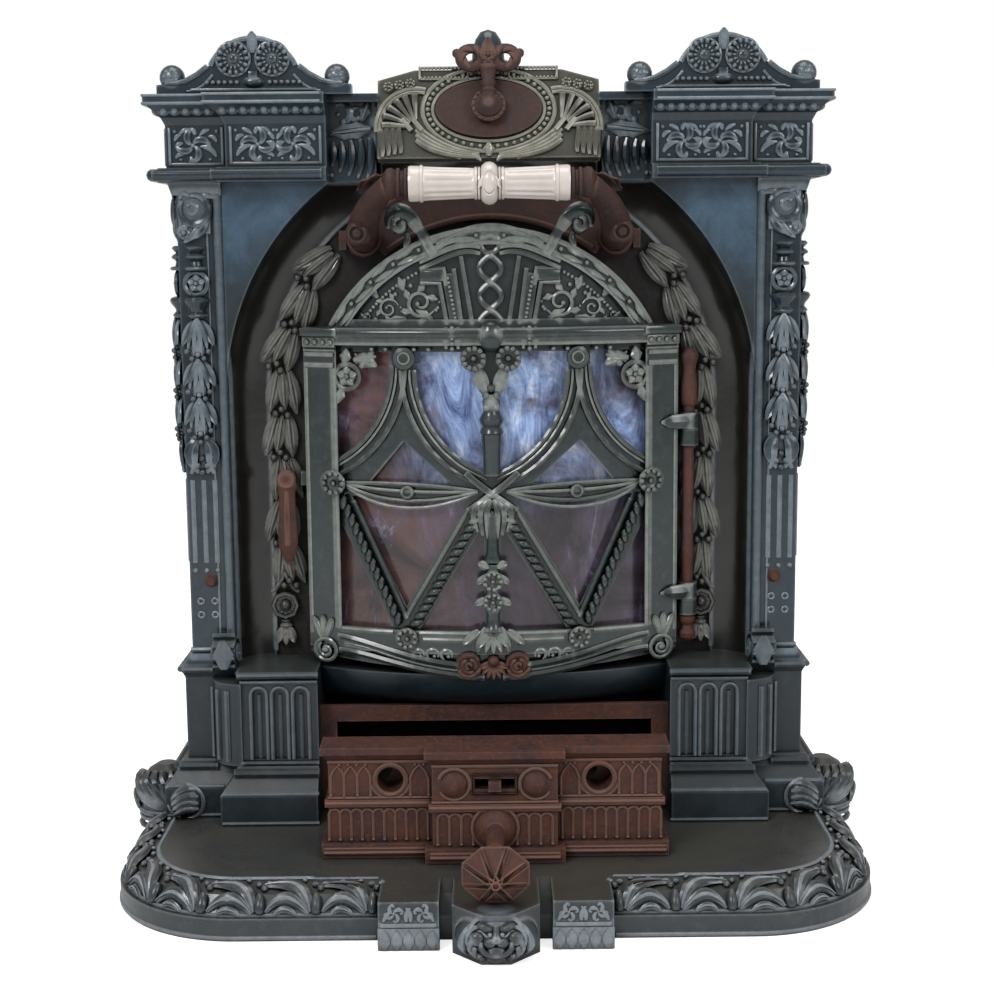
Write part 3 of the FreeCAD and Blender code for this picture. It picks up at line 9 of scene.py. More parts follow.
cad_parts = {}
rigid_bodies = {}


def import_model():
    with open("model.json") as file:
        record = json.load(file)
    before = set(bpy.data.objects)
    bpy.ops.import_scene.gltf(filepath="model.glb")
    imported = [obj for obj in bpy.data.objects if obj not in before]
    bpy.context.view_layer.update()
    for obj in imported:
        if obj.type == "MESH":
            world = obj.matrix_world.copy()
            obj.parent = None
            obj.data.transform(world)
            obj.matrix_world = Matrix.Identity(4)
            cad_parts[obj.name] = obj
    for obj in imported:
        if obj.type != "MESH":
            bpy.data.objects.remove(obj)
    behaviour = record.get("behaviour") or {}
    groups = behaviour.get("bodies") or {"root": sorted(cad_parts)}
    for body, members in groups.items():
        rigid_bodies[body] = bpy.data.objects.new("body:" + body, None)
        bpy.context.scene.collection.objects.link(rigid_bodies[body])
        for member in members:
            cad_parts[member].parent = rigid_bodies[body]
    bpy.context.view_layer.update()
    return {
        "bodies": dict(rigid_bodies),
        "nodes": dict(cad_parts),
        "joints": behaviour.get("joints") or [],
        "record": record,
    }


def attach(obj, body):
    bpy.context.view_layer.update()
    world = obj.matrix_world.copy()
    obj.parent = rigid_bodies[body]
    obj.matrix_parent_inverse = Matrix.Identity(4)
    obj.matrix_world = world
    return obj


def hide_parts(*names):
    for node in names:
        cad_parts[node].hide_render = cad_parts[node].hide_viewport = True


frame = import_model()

castNodes = frame["nodes"]
fullTurn = 2 * math.pi
patterns = {}
sides = (-1, 1)


# Placing. Carved work is drawn in millimetres; on a wall, local x runs right, y up and z out of the wall.

def at(x=0, y=0, z=0):
    return Matrix.Translation((x, y, z))


def turn(degrees, axis="Z"):
    return Matrix.Rotation(math.radians(degrees), 4, axis)


def grow(x=1, y=1, z=1):
    return Matrix.Diagonal((x, y, z, 1))


def onWall(x, y, z, yaw=0):
    return at(x, y, z) @ turn(yaw) @ turn(90, "X")


def bezier(start, first, second, end, steps=12):
    corners = [Vector(corner).to_3d() for corner in (start, first, second, end)]
    return interpolate_bezier(*corners, steps)


def arc(cx, cy, radius, begin, end, steps=12, lift=0):
    turns = [math.radians(begin + (end - begin) * step / steps) for step in range(steps + 1)]
    return [(cx + radius * math.cos(angle), cy + radius * math.sin(angle), lift) for angle in turns]


# Carved forms, each made once in its own bmesh and stamped where it is wanted.

def pattern(key, make):
    if key not in patterns:
        bm = bmesh.new()
        make(bm)
        bmesh.ops.remove_doubles(bm, verts=bm.verts[:], dist=0.001)
        bmesh.ops.recalc_face_normals(bm, faces=bm.faces[:])
        patterns[key] = bpy.data.meshes.new("pattern")
        bm.to_mesh(patterns[key])
        bm.free()
    return patterns[key]


def stamp(bm, mesh, spot):
    first = len(bm.verts)
    bm.from_mesh(mesh)
    bm.verts.ensure_lookup_table()
    bmesh.ops.transform(bm, matrix=spot, verts=bm.verts[first:])


def bead(bm, spot, radius, height=None, across=8):
    def make(form):
        bmesh.ops.create_uvsphere(form, u_segments=across, v_segments=max(5, across // 2), radius=1)
    stamp(bm, pattern(("bead", across), make), spot @ grow(radius, radius, height or radius))


def slab(bm, spot, width, height, depth, soft=0.0):
    def make(form):
        bmesh.ops.create_cube(form, size=1, matrix=at(0, 0, depth / 2) @ grow(width, height, depth))
        if soft:
            bmesh.ops.bevel(form, geom=form.edges[:], offset=soft, affect="EDGES", segments=2, profile=0.5,
                            material=-1)
    stamp(bm, pattern(("slab", width, height, depth, soft), make), spot)


def turned(bm, spot, outline, steps=16):
    # outline: radius and height pairs, turned about the local z axis
    def make(form):
        chain = [form.verts.new((radius, 0, height)) for radius, height in outline]
        rims = [form.edges.new(pair) for pair in zip(chain, chain[1:])]
        bmesh.ops.spin(form, geom=chain + rims, cent=(0, 0, 0), axis=(0, 0, 1), angle=fullTurn, steps=steps,
                       use_merge=True, use_duplicate=False)
    stamp(bm, pattern(("turned", tuple(outline), steps), make), spot)


def ring(bm, spot, radius, thick, steps=16, sides=6):
    def make(form):
        hoop = bmesh.ops.create_circle(form, segments=sides, radius=thick,
                                       matrix=at(radius, 0, 0) @ turn(90, "X"))["verts"]
        rims = list(dict.fromkeys(edge for vert in hoop for edge in vert.link_edges))
        bmesh.ops.spin(form, geom=hoop + rims, cent=(0, 0, 0), axis=(0, 0, 1), angle=fullTurn, steps=steps,
                       use_merge=True, use_duplicate=False)
    stamp(bm, pattern(("ring", radius, thick, steps, sides), make), spot)


def pour(bm, form, spot):
    # moves a finished form into the piece
    bmesh.ops.recalc_face_normals(form, faces=form.faces[:])
    mesh = bpy.data.meshes.new("form")
    form.to_mesh(mesh)
    form.free()
    stamp(bm, mesh, spot)
    bpy.data.meshes.remove(mesh)


def nextLoop(form, rims):
    # extrudes a ring of edges and gives the new ring's verts and edges
    made = bmesh.ops.extrude_edge_only(form, edges=rims)["geom"]
    loop = [part for part in made if isinstance(part, bmesh.types.BMVert)]
    edges = [part for part in made if isinstance(part, bmesh.types.BMEdge)]
    fresh = set(loop)
    return loop, [edge for edge in edges if fresh.issuperset(edge.verts)]


def tube(bm, spot, line, thick, sides=6, flat=1.0, closed=False):
    # draws a ring along a line; thick may be a list, and flat squeezes the ring against the wall
    points = [Vector(point).to_3d() for point in line]
    count = len(points)
    widths = thick if isinstance(thick, (list, tuple)) else [thick] * count
    frames = []
    for number, point in enumerate(points):
        before = points[number - 1] if number or closed else point
        after = points[(number + 1) % count] if number < count - 1 or closed else point
        ahead = (after - before).normalized()
        beside = ahead.cross(Vector((0, 0, 1)))
        beside = beside.normalized() if beside.length > 1e-4 else Vector((1, 0, 0))
        out = beside.cross(ahead)
        frame = Matrix((beside, out, ahead)).transposed().to_4x4()
        frames.append(at(*point) @ frame @ grow(widths[number], widths[number] * flat, 1))
    form = bmesh.new()
    bmesh.ops.create_circle(form, segments=sides, radius=1, matrix=frames[0])
    rims = firstRims = form.edges[:]
    for here, there in zip(frames, frames[1:]):
        loop, rims = nextLoop(form, rims)
        bmesh.ops.transform(form, matrix=there @ here.inverted(), verts=loop)
    if closed:
        bmesh.ops.bridge_loops(form, edges=firstRims + rims)
    else:
        bmesh.ops.edgeloop_fill(form, edges=firstRims)
        bmesh.ops.edgeloop_fill(form, edges=rims)
    pour(bm, form, spot)


def leaf(bm, spot, length, width, lift=3.0, curl=0.0, lobes=0, rows=6, thick=1.2):
    # a veined leaf that starts at the spot and runs up local y
    def make(form):
        bmesh.ops.create_grid(form, x_segments=4 if rows < 8 else 6, y_segments=rows, size=0.5)
        for vert in form.verts:
            across, along = vert.co.x * 2, vert.co.y + 0.5
            wave = math.cos(fullTurn * lobes * along) if lobes else 0
            half = width / 2 * math.sin(math.pi * (0.07 + 0.9 * along)) ** 0.7 * (1 + 0.15 * wave)
            rise = lift * (0.35 + 0.65 * math.sin(math.pi * (0.12 + 0.8 * along)))
            vein = 0.28 * lift * (abs(across) < 0.1) + 0.5 * lift * across ** 2
            vein -= 0.14 * lift * wave * abs(across)
            tip = curl * max(0.0, along - 0.55) ** 2 * 5
            vert.co = (across * half, length * along, rise - vein + tip)
        bmesh.ops.solidify(form, geom=form.faces[:], thickness=thick)
    stamp(bm, pattern(("leaf", length, width, lift, curl, lobes, rows, thick), make), spot)


def beadRow(bm, spot, start, end, count, radius):
    for number in range(count):
        share = number / max(1, count - 1)
        place = Vector(start).to_3d().lerp(Vector(end).to_3d(), share)
        bead(bm, spot @ at(*place), radius)


def beadRing(bm, spot, radius, count, size):
    for number in range(count):
        angle = fullTurn * number / count
        bead(bm, spot @ at(radius * math.cos(angle), radius * math.sin(angle), 0), size)


def beads(bm, spot, places, lift, radius):
    for x, y in places:
        bead(bm, spot @ at(x, y, lift), radius)


def fan(bm, spot, angles, *leafSizes):
    for angle in angles:
        leaf(bm, spot @ turn(angle), *leafSizes)


def flower(bm, spot, radius, count=9, lift=3.0):
    # bead-ring flower on a dished disc with a raised eye
    turned(bm, spot, [(radius, -1), (radius, lift * 0.4), (radius * 0.85, lift * 0.7),
                      (radius * 0.45, lift * 0.3), (0, lift * 0.3)], 16)
    beadRing(bm, spot @ at(0, 0, lift * 0.75), radius * 0.76, count, radius * 0.24)
    bead(bm, spot @ at(0, 0, lift * 0.4), radius * 0.27, lift * 0.9)


def rosette(bm, spot, radius, petals=6, lift=4.0):
    for number in range(petals):
        leaf(bm, spot @ turn(360 / petals * number) @ at(0, radius * 0.1, 0.3), radius * 0.95, radius * 0.85,
             lift * 0.7, 0, 0, 4)
    bead(bm, spot @ at(0, 0, lift * 0.55), radius * 0.26, lift * 0.6)


def volute(bm, spot, radius, turns, begin, way, thick):
    steps = int(12 * turns) + 4
    line, widths = [], []
    for step in range(steps + 1):
        share = step / steps
        angle = math.radians(begin) + way * share * turns * fullTurn
        reach = radius * (1 - 0.8 * share)
        line.append((reach * math.cos(angle), reach * math.sin(angle), thick * 0.35))
        widths.append(thick * (1 - 0.5 * share) * min(1, 0.35 + 5 * share))
    tube(bm, spot, line, widths)
    bead(bm, spot @ at(*line[-1]), thick * 1.15, thick * 1.3)


def comma(bm, spot, length, bend, thick, flat=0.75):
    # plump tapered leaf that leaves the spot along local y and bends as it goes
    shape = (0.55, 0.9, 1.1, 1.15, 1.0, 0.7, 0.3)
    place, line = Vector((0, 0, thick * 0.25)), []
    for step in range(len(shape)):
        line.append(place.copy())
        heading = math.radians(90 + bend * (step + 0.5) / len(shape))
        place += Vector((math.cos(heading), math.sin(heading), 0)) * length / (len(shape) - 1)
    tube(bm, spot, line, [thick * share for share in shape], 8, flat)


def whirl(bm, spot, radius, arms=4, begin=0, bend=150):
    # leaves that turn about a berry
    for number in range(arms):
        arm = spot @ turn(begin + 360 / arms * number) @ at(radius * 0.16, 0, 0)
        comma(bm, arm @ turn(-72), radius * 1.25, bend, radius * 0.22)
        comma(bm, arm @ at(radius * 0.5, -radius * 0.1, 0) @ turn(-104), radius * 0.55, -100, radius * 0.15)
    bead(bm, spot, radius * 0.2)


def foliateScroll(bm, spot, radius, way=1, begin=200, leaves=4):
    # spiral stem with leaves outside it and a small side shoot
    volute(bm, spot, radius, 1.35, begin, way, radius * 0.15)
    for number in range(leaves):
        angle = begin + way * (40 + 62 * number)
        reach = radius * (0.96 - 0.09 * number)
        leaf(bm, spot @ turn(angle) @ at(reach, 0, 0) @ turn(-90 + way * 58), radius * 0.72, radius * 0.42,
             radius * 0.2, radius * 0.08, 2, 5)
    bead(bm, spot @ turn(begin - way * 14) @ at(radius * 1.16, 0, 0), radius * 0.14)
    bead(bm, spot @ turn(begin - way * 32) @ at(radius * 1.22, 0, 0), radius * 0.11)


def husk(bm, spot, width, height, lift):
    # hanging bell of rolled leaves with berries at its mouth
    for angle, share in ((-30, 0.8), (30, 0.8), (0, 1)):
        leaf(bm, spot @ at(0, 0, lift * (share - 0.9)) @ turn(180 + angle), height * share, width * 0.44,
             lift, lift * 0.5, 0, 5)
    for angle, share in ((-28, 0.84), (28, 0.84), (-10, 0.96), (10, 0.96)):
        comma(bm, spot @ at(0, 0, lift * 0.75) @ turn(180 + angle), height * share, angle * -0.9,
              width * 0.09, 1)
    for dx, dy in ((-0.2, -1.02), (0.2, -1.02), (0, -0.92), (0, -1.14), (-0.36, -0.84), (0.36, -0.84)):
        bead(bm, spot @ at(dx * width, dy * height, lift * 0.9), width * 0.1)


def framing(bm, spot, width, height, band, lift):
    for side in sides:
        slab(bm, spot @ at(side * (width - band) / 2, 0, 0), band, height, lift, band * 0.3)
        slab(bm, spot @ at(0, side * (height - band) / 2, 0), width, band, lift, band * 0.3)


def bothSides(bm):
    made = bmesh.ops.duplicate(bm, geom=bm.verts[:] + bm.edges[:] + bm.faces[:])["geom"]
    bmesh.ops.scale(bm, vec=(-1, 1, 1), verts=[part for part in made if isinstance(part, bmesh.types.BMVert)])


def settle(bm, name, body, finish, crease=38):
    # faces outwards, millimetres to metres, and the piece rides on its body
    bmesh.ops.recalc_face_normals(bm, faces=bm.faces[:])
    bmesh.ops.scale(bm, vec=(0.001, 0.001, 0.001), verts=bm.verts[:])
    mesh = bpy.data.meshes.new(name)
    bm.to_mesh(mesh)
    bm.free()
    mesh.shade_smooth()
    mesh.set_sharp_from_angle(angle=math.radians(crease))
    mesh.materials.append(finish)
    piece = bpy.data.objects.new(name, mesh)
    bpy.context.scene.collection.objects.link(piece)
    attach(piece, body)
    print(f"{name}: {len(mesh.polygons)} faces on {body}")
    return piece


# Finishes

def tone(red, green, blue):
    # a colour as it is read off a screen, 0 to 255, made linear
    return tuple(((part / 255 + 0.055) / 1.055) ** 2.4 for part in (red, green, blue)) + (1,)


def addNode(tree, kind, inputs=None, **settings):
    node = tree.nodes.new("ShaderNode" + kind)
    for key, value in settings.items():
        setattr(node, key, value)
    for key, value in (inputs or {}).items():
        if isinstance(value, bpy.types.NodeSocket):
            tree.links.new(value, node.inputs[key])
        else:
            node.inputs[key].default_value = value
    return node


def spread(tree, value, low, high, start=0.0, end=1.0):
    return addNode(tree, "MapRange", {"Value": value, "From Min": low, "From Max": high, "To Min": start,
                                      "To Max": end}).outputs["Result"]


def mixTone(tree, factor, first, second):
    return addNode(tree, "Mix", {0: factor, 6: first, 7: second}, data_type="RGBA").outputs[2]


def times(tree, first, second, operation="MULTIPLY"):
    return addNode(tree, "Math", {0: first, 1: second}, operation=operation).outputs[0]


def newFinish(name, **sockets):
    finish = bpy.data.materials.new(name)
    finish.use_nodes = True
    tree = finish.node_tree
    shader = tree.nodes["Principled BSDF"]
    for key, value in sockets.items():
        shader.inputs[key.replace("_", " ")].default_value = value
    place = addNode(tree, "TexCoord").outputs["Object"]
    return finish, tree, shader, place


def coat(tree, shader, colour, height, strength, depth):
    # colour and bump of a finish
    tree.links.new(colour, shader.inputs["Base Color"])
    bump = addNode(tree, "Bump", {"Height": height, "Strength": strength, "Distance": depth})
    tree.links.new(bump.outputs["Normal"], shader.inputs["Normal"])


def noise(tree, place, scale, detail=3.0, rough=0.55, warp=0.0):
    return addNode(tree, "TexNoise", {"Vector": place, "Scale": scale, "Detail": detail, "Roughness": rough,
                                      "Distortion": warp}).outputs["Fac"]


def hollows(tree, reach, inside=False):
    return addNode(tree, "AmbientOcclusion", {"Distance": reach}, samples=6, inside=inside).outputs["AO"]


def glaze(name, look):
    # lead glaze that pools dark in hollows, partly as real glaze and partly as painted shade, and thins pale
    # on ridges, partly as real glaze and partly as painted highlight, with dust and a painted reflection on
    # what faces up
    finish, tree, shader, place = newFinish(name, Roughness=look["gloss"], Specular_IOR_Level=look["shine"])
    clouds = noise(tree, place, 16, 5, 0.6, 0.6)
    grain = noise(tree, place, 120, 3, 0.6)
    colour = mixTone(tree, spread(tree, clouds, 0.35, 0.68), look["body"], look["drift"])
    colour = mixTone(tree, spread(tree, grain, 0.5, 0.72, 0, 0.35), colour, look["fleck"])
    # dust and a painted reflection: faces that look up take a greyer olive tone
    facing = addNode(tree, "SeparateXYZ", {0: addNode(tree, "NewGeometry").outputs["Normal"]}).outputs["Z"]
    dustAndReflectionShare = times(tree, spread(tree, facing, 0.35, 0.95, 0, look["dustAndReflectionShare"]),
                  spread(tree, clouds, 0.25, 0.6, 0.5, 1))
    colour = mixTone(tree, dustAndReflectionShare, colour, look["dustAndReflection"])
    if "cove" in look:    # the arched wall: a painted blue reflection about its shoulders that fades dark towards its foot, a ring of painted shade about the arch, and painted shade with a brown painted reflection in the cove
        axes = addNode(tree, "SeparateXYZ", {0: place})
        colour = mixTone(tree, spread(tree, axes.outputs["Z"], *look["reflectionFade"]), colour, look["foot"])
        reach = addNode(tree, "VectorMath", {0: place, 1: look["centre"]},
                        operation="DISTANCE").outputs["Value"]
        reach = times(tree, reach, times(tree, clouds, 0.06), "ADD")
        colour = mixTone(tree, spread(tree, reach, *look["ring"]), colour, look["edge"])
        colour = mixTone(tree, spread(tree, axes.outputs["Y"], *look["bend"]), colour, look["cove"])
    # thin glaze, wear and painted highlight: ridges turn towards the pale tone
    ridges = spread(tree, hollows(tree, look["ridgeReach"], True), 0.72, 0.3)
    rubbed = spread(tree, grain, 0.25, 0.7, look["wearAndHighlight"] * 0.6, look["wearAndHighlight"])
    colour = mixTone(tree, times(tree, ridges, rubbed), colour, look["thinGlazeAndHighlight"])
    # glaze pooling and painted shade: hollows darken towards the deep tone
    pooledAndShaded = spread(tree, hollows(tree, look["hollowReach"]), 0.78, 0.28)
    colour = mixTone(tree, times(tree, pooledAndShaded, look["poolingAndShade"]), colour, look["deep"])
    crackle = addNode(tree, "TexVoronoi", {"Vector": place, "Scale": 210},
                      feature="DISTANCE_TO_EDGE").outputs["Distance"]
    colour = mixTone(tree, spread(tree, crackle, 0.03, 0.0, 0, 0.3), colour, look["deep"])
    gloss = look["gloss"]
    tree.links.new(spread(tree, clouds, 0.3, 0.75, gloss * 0.7, gloss * 1.6), shader.inputs["Roughness"])
    swell = times(tree, noise(tree, place, 55, 2), times(tree, grain, 0.35), "ADD")
    coat(tree, shader, colour, swell, 0.22, 0.0012)
    return finish


# in each look the ridge tone is thin glaze and painted highlight, the hollow mix is glaze pooling and painted
# shade, and the upward tint is dust with a painted reflection
petrolLook = {"body": tone(24, 36, 44), "drift": tone(34, 50, 60), "fleck": tone(51, 68, 77),
              "dustAndReflection": tone(64, 66, 60), "dustAndReflectionShare": 0.55, "thinGlazeAndHighlight": tone(128, 140, 148), "wearAndHighlight": 0.74,
              "deep": tone(7, 10, 13), "poolingAndShade": 0.95, "ridgeReach": 0.0032, "hollowReach": 0.012,
              "gloss": 0.17, "shine": 0.55}
oliveLook = dict(petrolLook, body=tone(35, 44, 46), drift=tone(45, 54, 54), fleck=tone(70, 77, 73),
                 dustAndReflection=tone(80, 79, 69), thinGlazeAndHighlight=tone(146, 152, 146), deep=tone(11, 12, 13))
crestTone = dict(oliveLook, body=tone(62, 64, 58), drift=tone(74, 72, 62), thinGlazeAndHighlight=tone(158, 156, 142))
laurelTone = dict(oliveLook, body=tone(48, 50, 50), drift=tone(58, 57, 53), thinGlazeAndHighlight=tone(142, 142, 136))
plateTone = dict(petrolLook, body=tone(38, 46, 51), drift=tone(52, 57, 58), dustAndReflection=tone(63, 61, 55), dustAndReflectionShare=0.85,
                 fleck=tone(72, 79, 83), thinGlazeAndHighlight=tone(146, 154, 161), gloss=0.27)
stepTone = dict(petrolLook, body=tone(20, 29, 35), drift=tone(29, 41, 48), fleck=tone(44, 58, 66),
                thinGlazeAndHighlight=tone(106, 117, 124), gloss=0.34)
# front wall: the lighter blue body, drift and fleck are a painted window reflection, darker towards the
# bottom where it fades; the edge ring about the arch is painted shade, and the cove tone is painted shade
# with a brown painted reflection
wallReflectionAndShadeTone = dict(petrolLook, body=tone(42, 60, 74), drift=tone(68, 92, 112), fleck=tone(84, 104, 120),
                foot=tone(24, 28, 29), reflectionFade=(0.53, 0.44), cove=tone(24, 23, 21), bend=(0.0122, 0.022),
                edge=tone(33, 37, 36), centre=(0, 0.02, 0.399), ring=(0.278, 0.242))


def rusted(name, look):
    # bare iron under brown and plum rust, rubbed on its edges, with painted shade darkening its hollows
    finish, tree, shader, place = newFinish(name, Roughness=0.7, Specular_IOR_Level=0.35)
    clouds = noise(tree, place, 28, 6, 0.65, 0.8)
    pits = noise(tree, place, 260, 3, 0.7)
    colour = mixTone(tree, spread(tree, clouds, 0.38, 0.64), look["body"], look["drift"])
    colour = mixTone(tree, spread(tree, pits, 0.52, 0.7, 0, 0.6), colour, look["bloom"])
    ridges = spread(tree, hollows(tree, 0.003, True), 0.66, 0.28, 0, 0.55)
    colour = mixTone(tree, ridges, colour, look["rubbed"])
    # painted shade: hollows darken towards the deep tone
    colour = mixTone(tree, spread(tree, hollows(tree, 0.01), 0.75, 0.25, 0, 0.88), colour, look["deep"])
    tree.links.new(spread(tree, pits, 0.3, 0.7, 0.5, 0.85), shader.inputs["Roughness"])
    coat(tree, shader, colour, times(tree, pits, clouds, "ADD"), 0.5, 0.0012)
    return finish


rustLook = {"body": tone(80, 47, 36), "drift": tone(56, 38, 38), "bloom": tone(108, 66, 46),
            "rubbed": tone(122, 92, 80), "deep": tone(16, 9, 8)}
darkRust = {"body": tone(60, 38, 32), "drift": tone(43, 31, 30), "bloom": tone(80, 53, 43),
            "rubbed": tone(102, 76, 67), "deep": tone(12, 8, 7)}
sootLook = {"body": tone(34, 30, 28), "drift": tone(26, 24, 24), "bloom": tone(52, 42, 36),
            "rubbed": tone(70, 62, 58), "deep": tone(6, 5, 5)}


def fired(name):
    # white porcelain with grey in its flutes
    finish, tree, shader, place = newFinish(name, Roughness=0.16, Specular_IOR_Level=0.5, Coat_Weight=0.3)
    clouds = noise(tree, place, 40, 4, 0.6)
    colour = mixTone(tree, spread(tree, clouds, 0.35, 0.7), tone(206, 197, 191), tone(191, 181, 174))
    colour = mixTone(tree, spread(tree, hollows(tree, 0.006), 0.85, 0.3, 0, 0.7), colour, tone(110, 98, 94))
    coat(tree, shader, colour, noise(tree, place, 90, 2), 0.08, 0.001)
    return finish


# sky, blue and milk are colours of painted reflections
micaLook = {"amber": tone(98, 70, 62), "plum": tone(66, 56, 68), "sky": tone(152, 178, 224),
            "reflectedWhite": tone(230, 236, 248), "blue": tone(56, 72, 122), "smoke": tone(27, 21, 25),
            "violet": tone(96, 86, 118)}


def micaSheet(name):
    # cleaved mica: amber and plum layers, with a painted blue and white reflection about the middle of the
    # upper panes and painted white reflection streaks
    finish, tree, shader, place = newFinish(name, Roughness=0.12, Specular_IOR_Level=0.6)
    look = micaLook
    axes = addNode(tree, "SeparateXYZ", {0: place})
    clouds = noise(tree, place, 13, 6, 0.65, 1.2)
    turnedPlace = addNode(tree, "Mapping", {"Vector": place, "Rotation": (0, math.radians(32), 0),
                                            "Scale": (1, 1, 0.35)})
    streaks = noise(tree, turnedPlace.outputs[0], 34, 7, 0.7, 1.6)
    toLeft = spread(tree, axes.outputs["X"], 0.0, -0.09)
    colour = mixTone(tree, toLeft, look["plum"], look["amber"])
    colour = mixTone(tree, spread(tree, streaks, 0.46, 0.64, 0, 0.55), colour, look["violet"])
    colour = mixTone(tree, spread(tree, clouds, 0.40, 0.62, 0, 0.85), colour, look["smoke"])
    # painted reflection: white streaks
    colour = mixTone(tree, spread(tree, streaks, 0.6, 0.78, 0, 0.35), colour, look["reflectedWhite"])
    # painted reflection: blue and white in the middle of the upper panes and towards their right
    offset = addNode(tree, "Math", {0: axes.outputs["X"], 1: 0.012}, operation="SUBTRACT").outputs[0]
    middle = spread(tree, addNode(tree, "Math", {0: offset}, operation="ABSOLUTE").outputs[0], 0.1, 0.04)
    toRight = times(tree, spread(tree, axes.outputs["X"], 0.075, 0.095),
                    spread(tree, axes.outputs["Z"], 0.405, 0.375))
    middle = times(tree, middle, toRight, "MAXIMUM")
    upper = spread(tree, axes.outputs["Z"], 0.300, 0.375)
    bloom = times(tree, times(tree, middle, upper), spread(tree, clouds, 0.3, 0.5))
    sky = mixTone(tree, spread(tree, streaks, 0.36, 0.52), look["blue"], look["sky"])
    sky = mixTone(tree, spread(tree, streaks, 0.52, 0.66), sky, look["reflectedWhite"])
    colour = mixTone(tree, bloom, colour, sky)
    coat(tree, shader, colour, streaks, 0.25, 0.0015)
    return finish


def burntClay(name):
    finish, tree, shader, place = newFinish(name, Roughness=0.9)
    clouds = noise(tree, place, 30, 6, 0.7)
    colour = mixTone(tree, spread(tree, clouds, 0.35, 0.7), tone(138, 110, 84), tone(92, 72, 58))
    colour = mixTone(tree, spread(tree, noise(tree, place, 9, 3), 0.45, 0.7), colour, tone(34, 30, 28))
    coat(tree, shader, colour, clouds, 0.5, 0.002)
    return finish


petrol = glaze("petrolGlaze", petrolLook)
olive = glaze("oliveGlaze", oliveLook)
crestGlaze = glaze("crestGlaze", crestTone)
laurelGlaze = glaze("laurelGlaze", laurelTone)
hearthGlaze = glaze("hearthGlaze", plateTone)
wallGlazeWithPaintedLight = glaze("wallGlazeWithPaintedLight", wallReflectionAndShadeTone)
stepGlaze = glaze("stepGlaze", stepTone)
rust = rusted("rustedIron", rustLook)
brownIron = rusted("brownIron", darkRust)
soot = rusted("sootedIron", sootLook)
porcelain = fired("whitePorcelain")
mica = micaSheet("micaWithPaintedReflection")
clay = burntClay("burntFirebrick")

finishes = (
    (olive, ("door_casting", "door_knuckles", "hinge_brackets")),
    (crestGlaze, ("crest",)),
    (laurelGlaze, ("garland_left", "garland_right")),
    (hearthGlaze, ("hearth_base",)),
    (wallGlazeWithPaintedLight, ("front_panel",)),
    (stepGlaze, ("plinth_left", "plinth_right", "drums", "consoles", "apron")),
    (brownIron, ("flap_plate", "flap_arm_left", "flap_arm_right", "ferrules", "flap_ears", "grip_rod",
                 "damper_key", "oval_plate", "damper_spindle")),
    (rust, ("latch_lever", "latch_pin", "hinge_rod", "drawer_front", "drawer_surround", "drawer_knob",
            "knob_stem", "air_shutter", "pilaster_screws")),
    (soot, ("damper_disc", "mouth_plate", "mica_strips", "grate", "grate_bearers", "ash_pan", "tie_rods")),
    (porcelain, ("grip_egg", "grip_left", "grip_right")),
    (mica, ("mica_lower", "mica_upper")),
    (clay, ("firebrick_sides", "firebrick_back")),
)
chosen = {node: finish for finish, members in finishes for node in members}
for nodeName, node in castNodes.items():
    node.data.materials.clear()
    node.data.materials.append(chosen.get(nodeName, petrol))
print("finishes on", len(castNodes), "cast pieces")


# Stage

stageLook = {"floor": tone(246, 246, 246), "lift": 0.62, "sky": 0.5}
lamps = {
    "keyLamp": {"place": (-1.3, -1.9, 2.0), "aim": (0, 0, 0.35), "size": 0.9, "power": 34},
    "fillLamp": {"place": (1.7, -1.7, 1.5), "aim": (0, 0, 0.3), "size": 1.0, "power": 17},
    "topLamp": {"place": (0, -0.2, 2.3), "aim": (0, 0, 0.3), "size": 1.2, "power": 15},
}
camera = {"place": (0, -1.388, 0.5216), "tilt": 81.5, "roll": -0.5, "yaw": -0.17, "lens": 59.65}


def setStage():
    scene = bpy.context.scene
    scene.view_settings.view_transform = "Standard"
    world = bpy.data.worlds.new("paleRoom")
    scene.world = world
    world.use_nodes = True
    tree = world.node_tree
    seen = addNode(tree, "LightPath").outputs["Is Camera Ray"]
    backdrop = tree.nodes["Background"]
    backdrop.inputs["Color"].default_value = (1, 1, 1, 1)
    tree.links.new(spread(tree, seen, 0, 1, stageLook["sky"], 1.0), backdrop.inputs["Strength"])
    bm = bmesh.new()
    bmesh.ops.create_grid(bm, x_segments=1, y_segments=1, size=6)
    mesh = bpy.data.meshes.new("floor")
    bm.to_mesh(mesh)
    bm.free()
    floor = bpy.data.objects.new("floor", mesh)
    scene.collection.objects.link(floor)
    finish, tree, shader, place = newFinish("paleFloor", Roughness=0.9, Specular_IOR_Level=0.1)
    shade = mixTone(tree, spread(tree, noise(tree, place, 3), 0.3, 0.7), stageLook["floor"],
                    tone(243, 243, 242))
    tree.links.new(shade, shader.inputs["Base Color"])
    glow = addNode(tree, "LightPath").outputs["Is Camera Ray"]
    shader.inputs["Emission Color"].default_value = (1, 1, 1, 1)
    tree.links.new(times(tree, glow, stageLook["lift"]), shader.inputs["Emission Strength"])
    mesh.materials.append(finish)
    for name, lamp in lamps.items():
        data = bpy.data.lights.new(name, "AREA")
        data.size = lamp["size"]
        data.energy = lamp["power"]
        item = bpy.data.objects.new(name, data)
        item.location = lamp["place"]
        aim = Vector(lamp["aim"]) - Vector(lamp["place"])
        item.rotation_euler = aim.to_track_quat("-Z", "Y").to_euler()
        scene.collection.objects.link(item)
    view = bpy.data.cameras.new("camera")
    view.lens = camera["lens"]
    view.sensor_fit = "HORIZONTAL"
    item = bpy.data.objects.new("camera", view)
    stand = at(*camera["place"]) @ turn(camera["yaw"])
    item.matrix_world = stand @ turn(camera["tilt"], "X") @ turn(camera["roll"])
    scene.collection.objects.link(item)
    scene.camera = item
    print("stage set")


setStage()


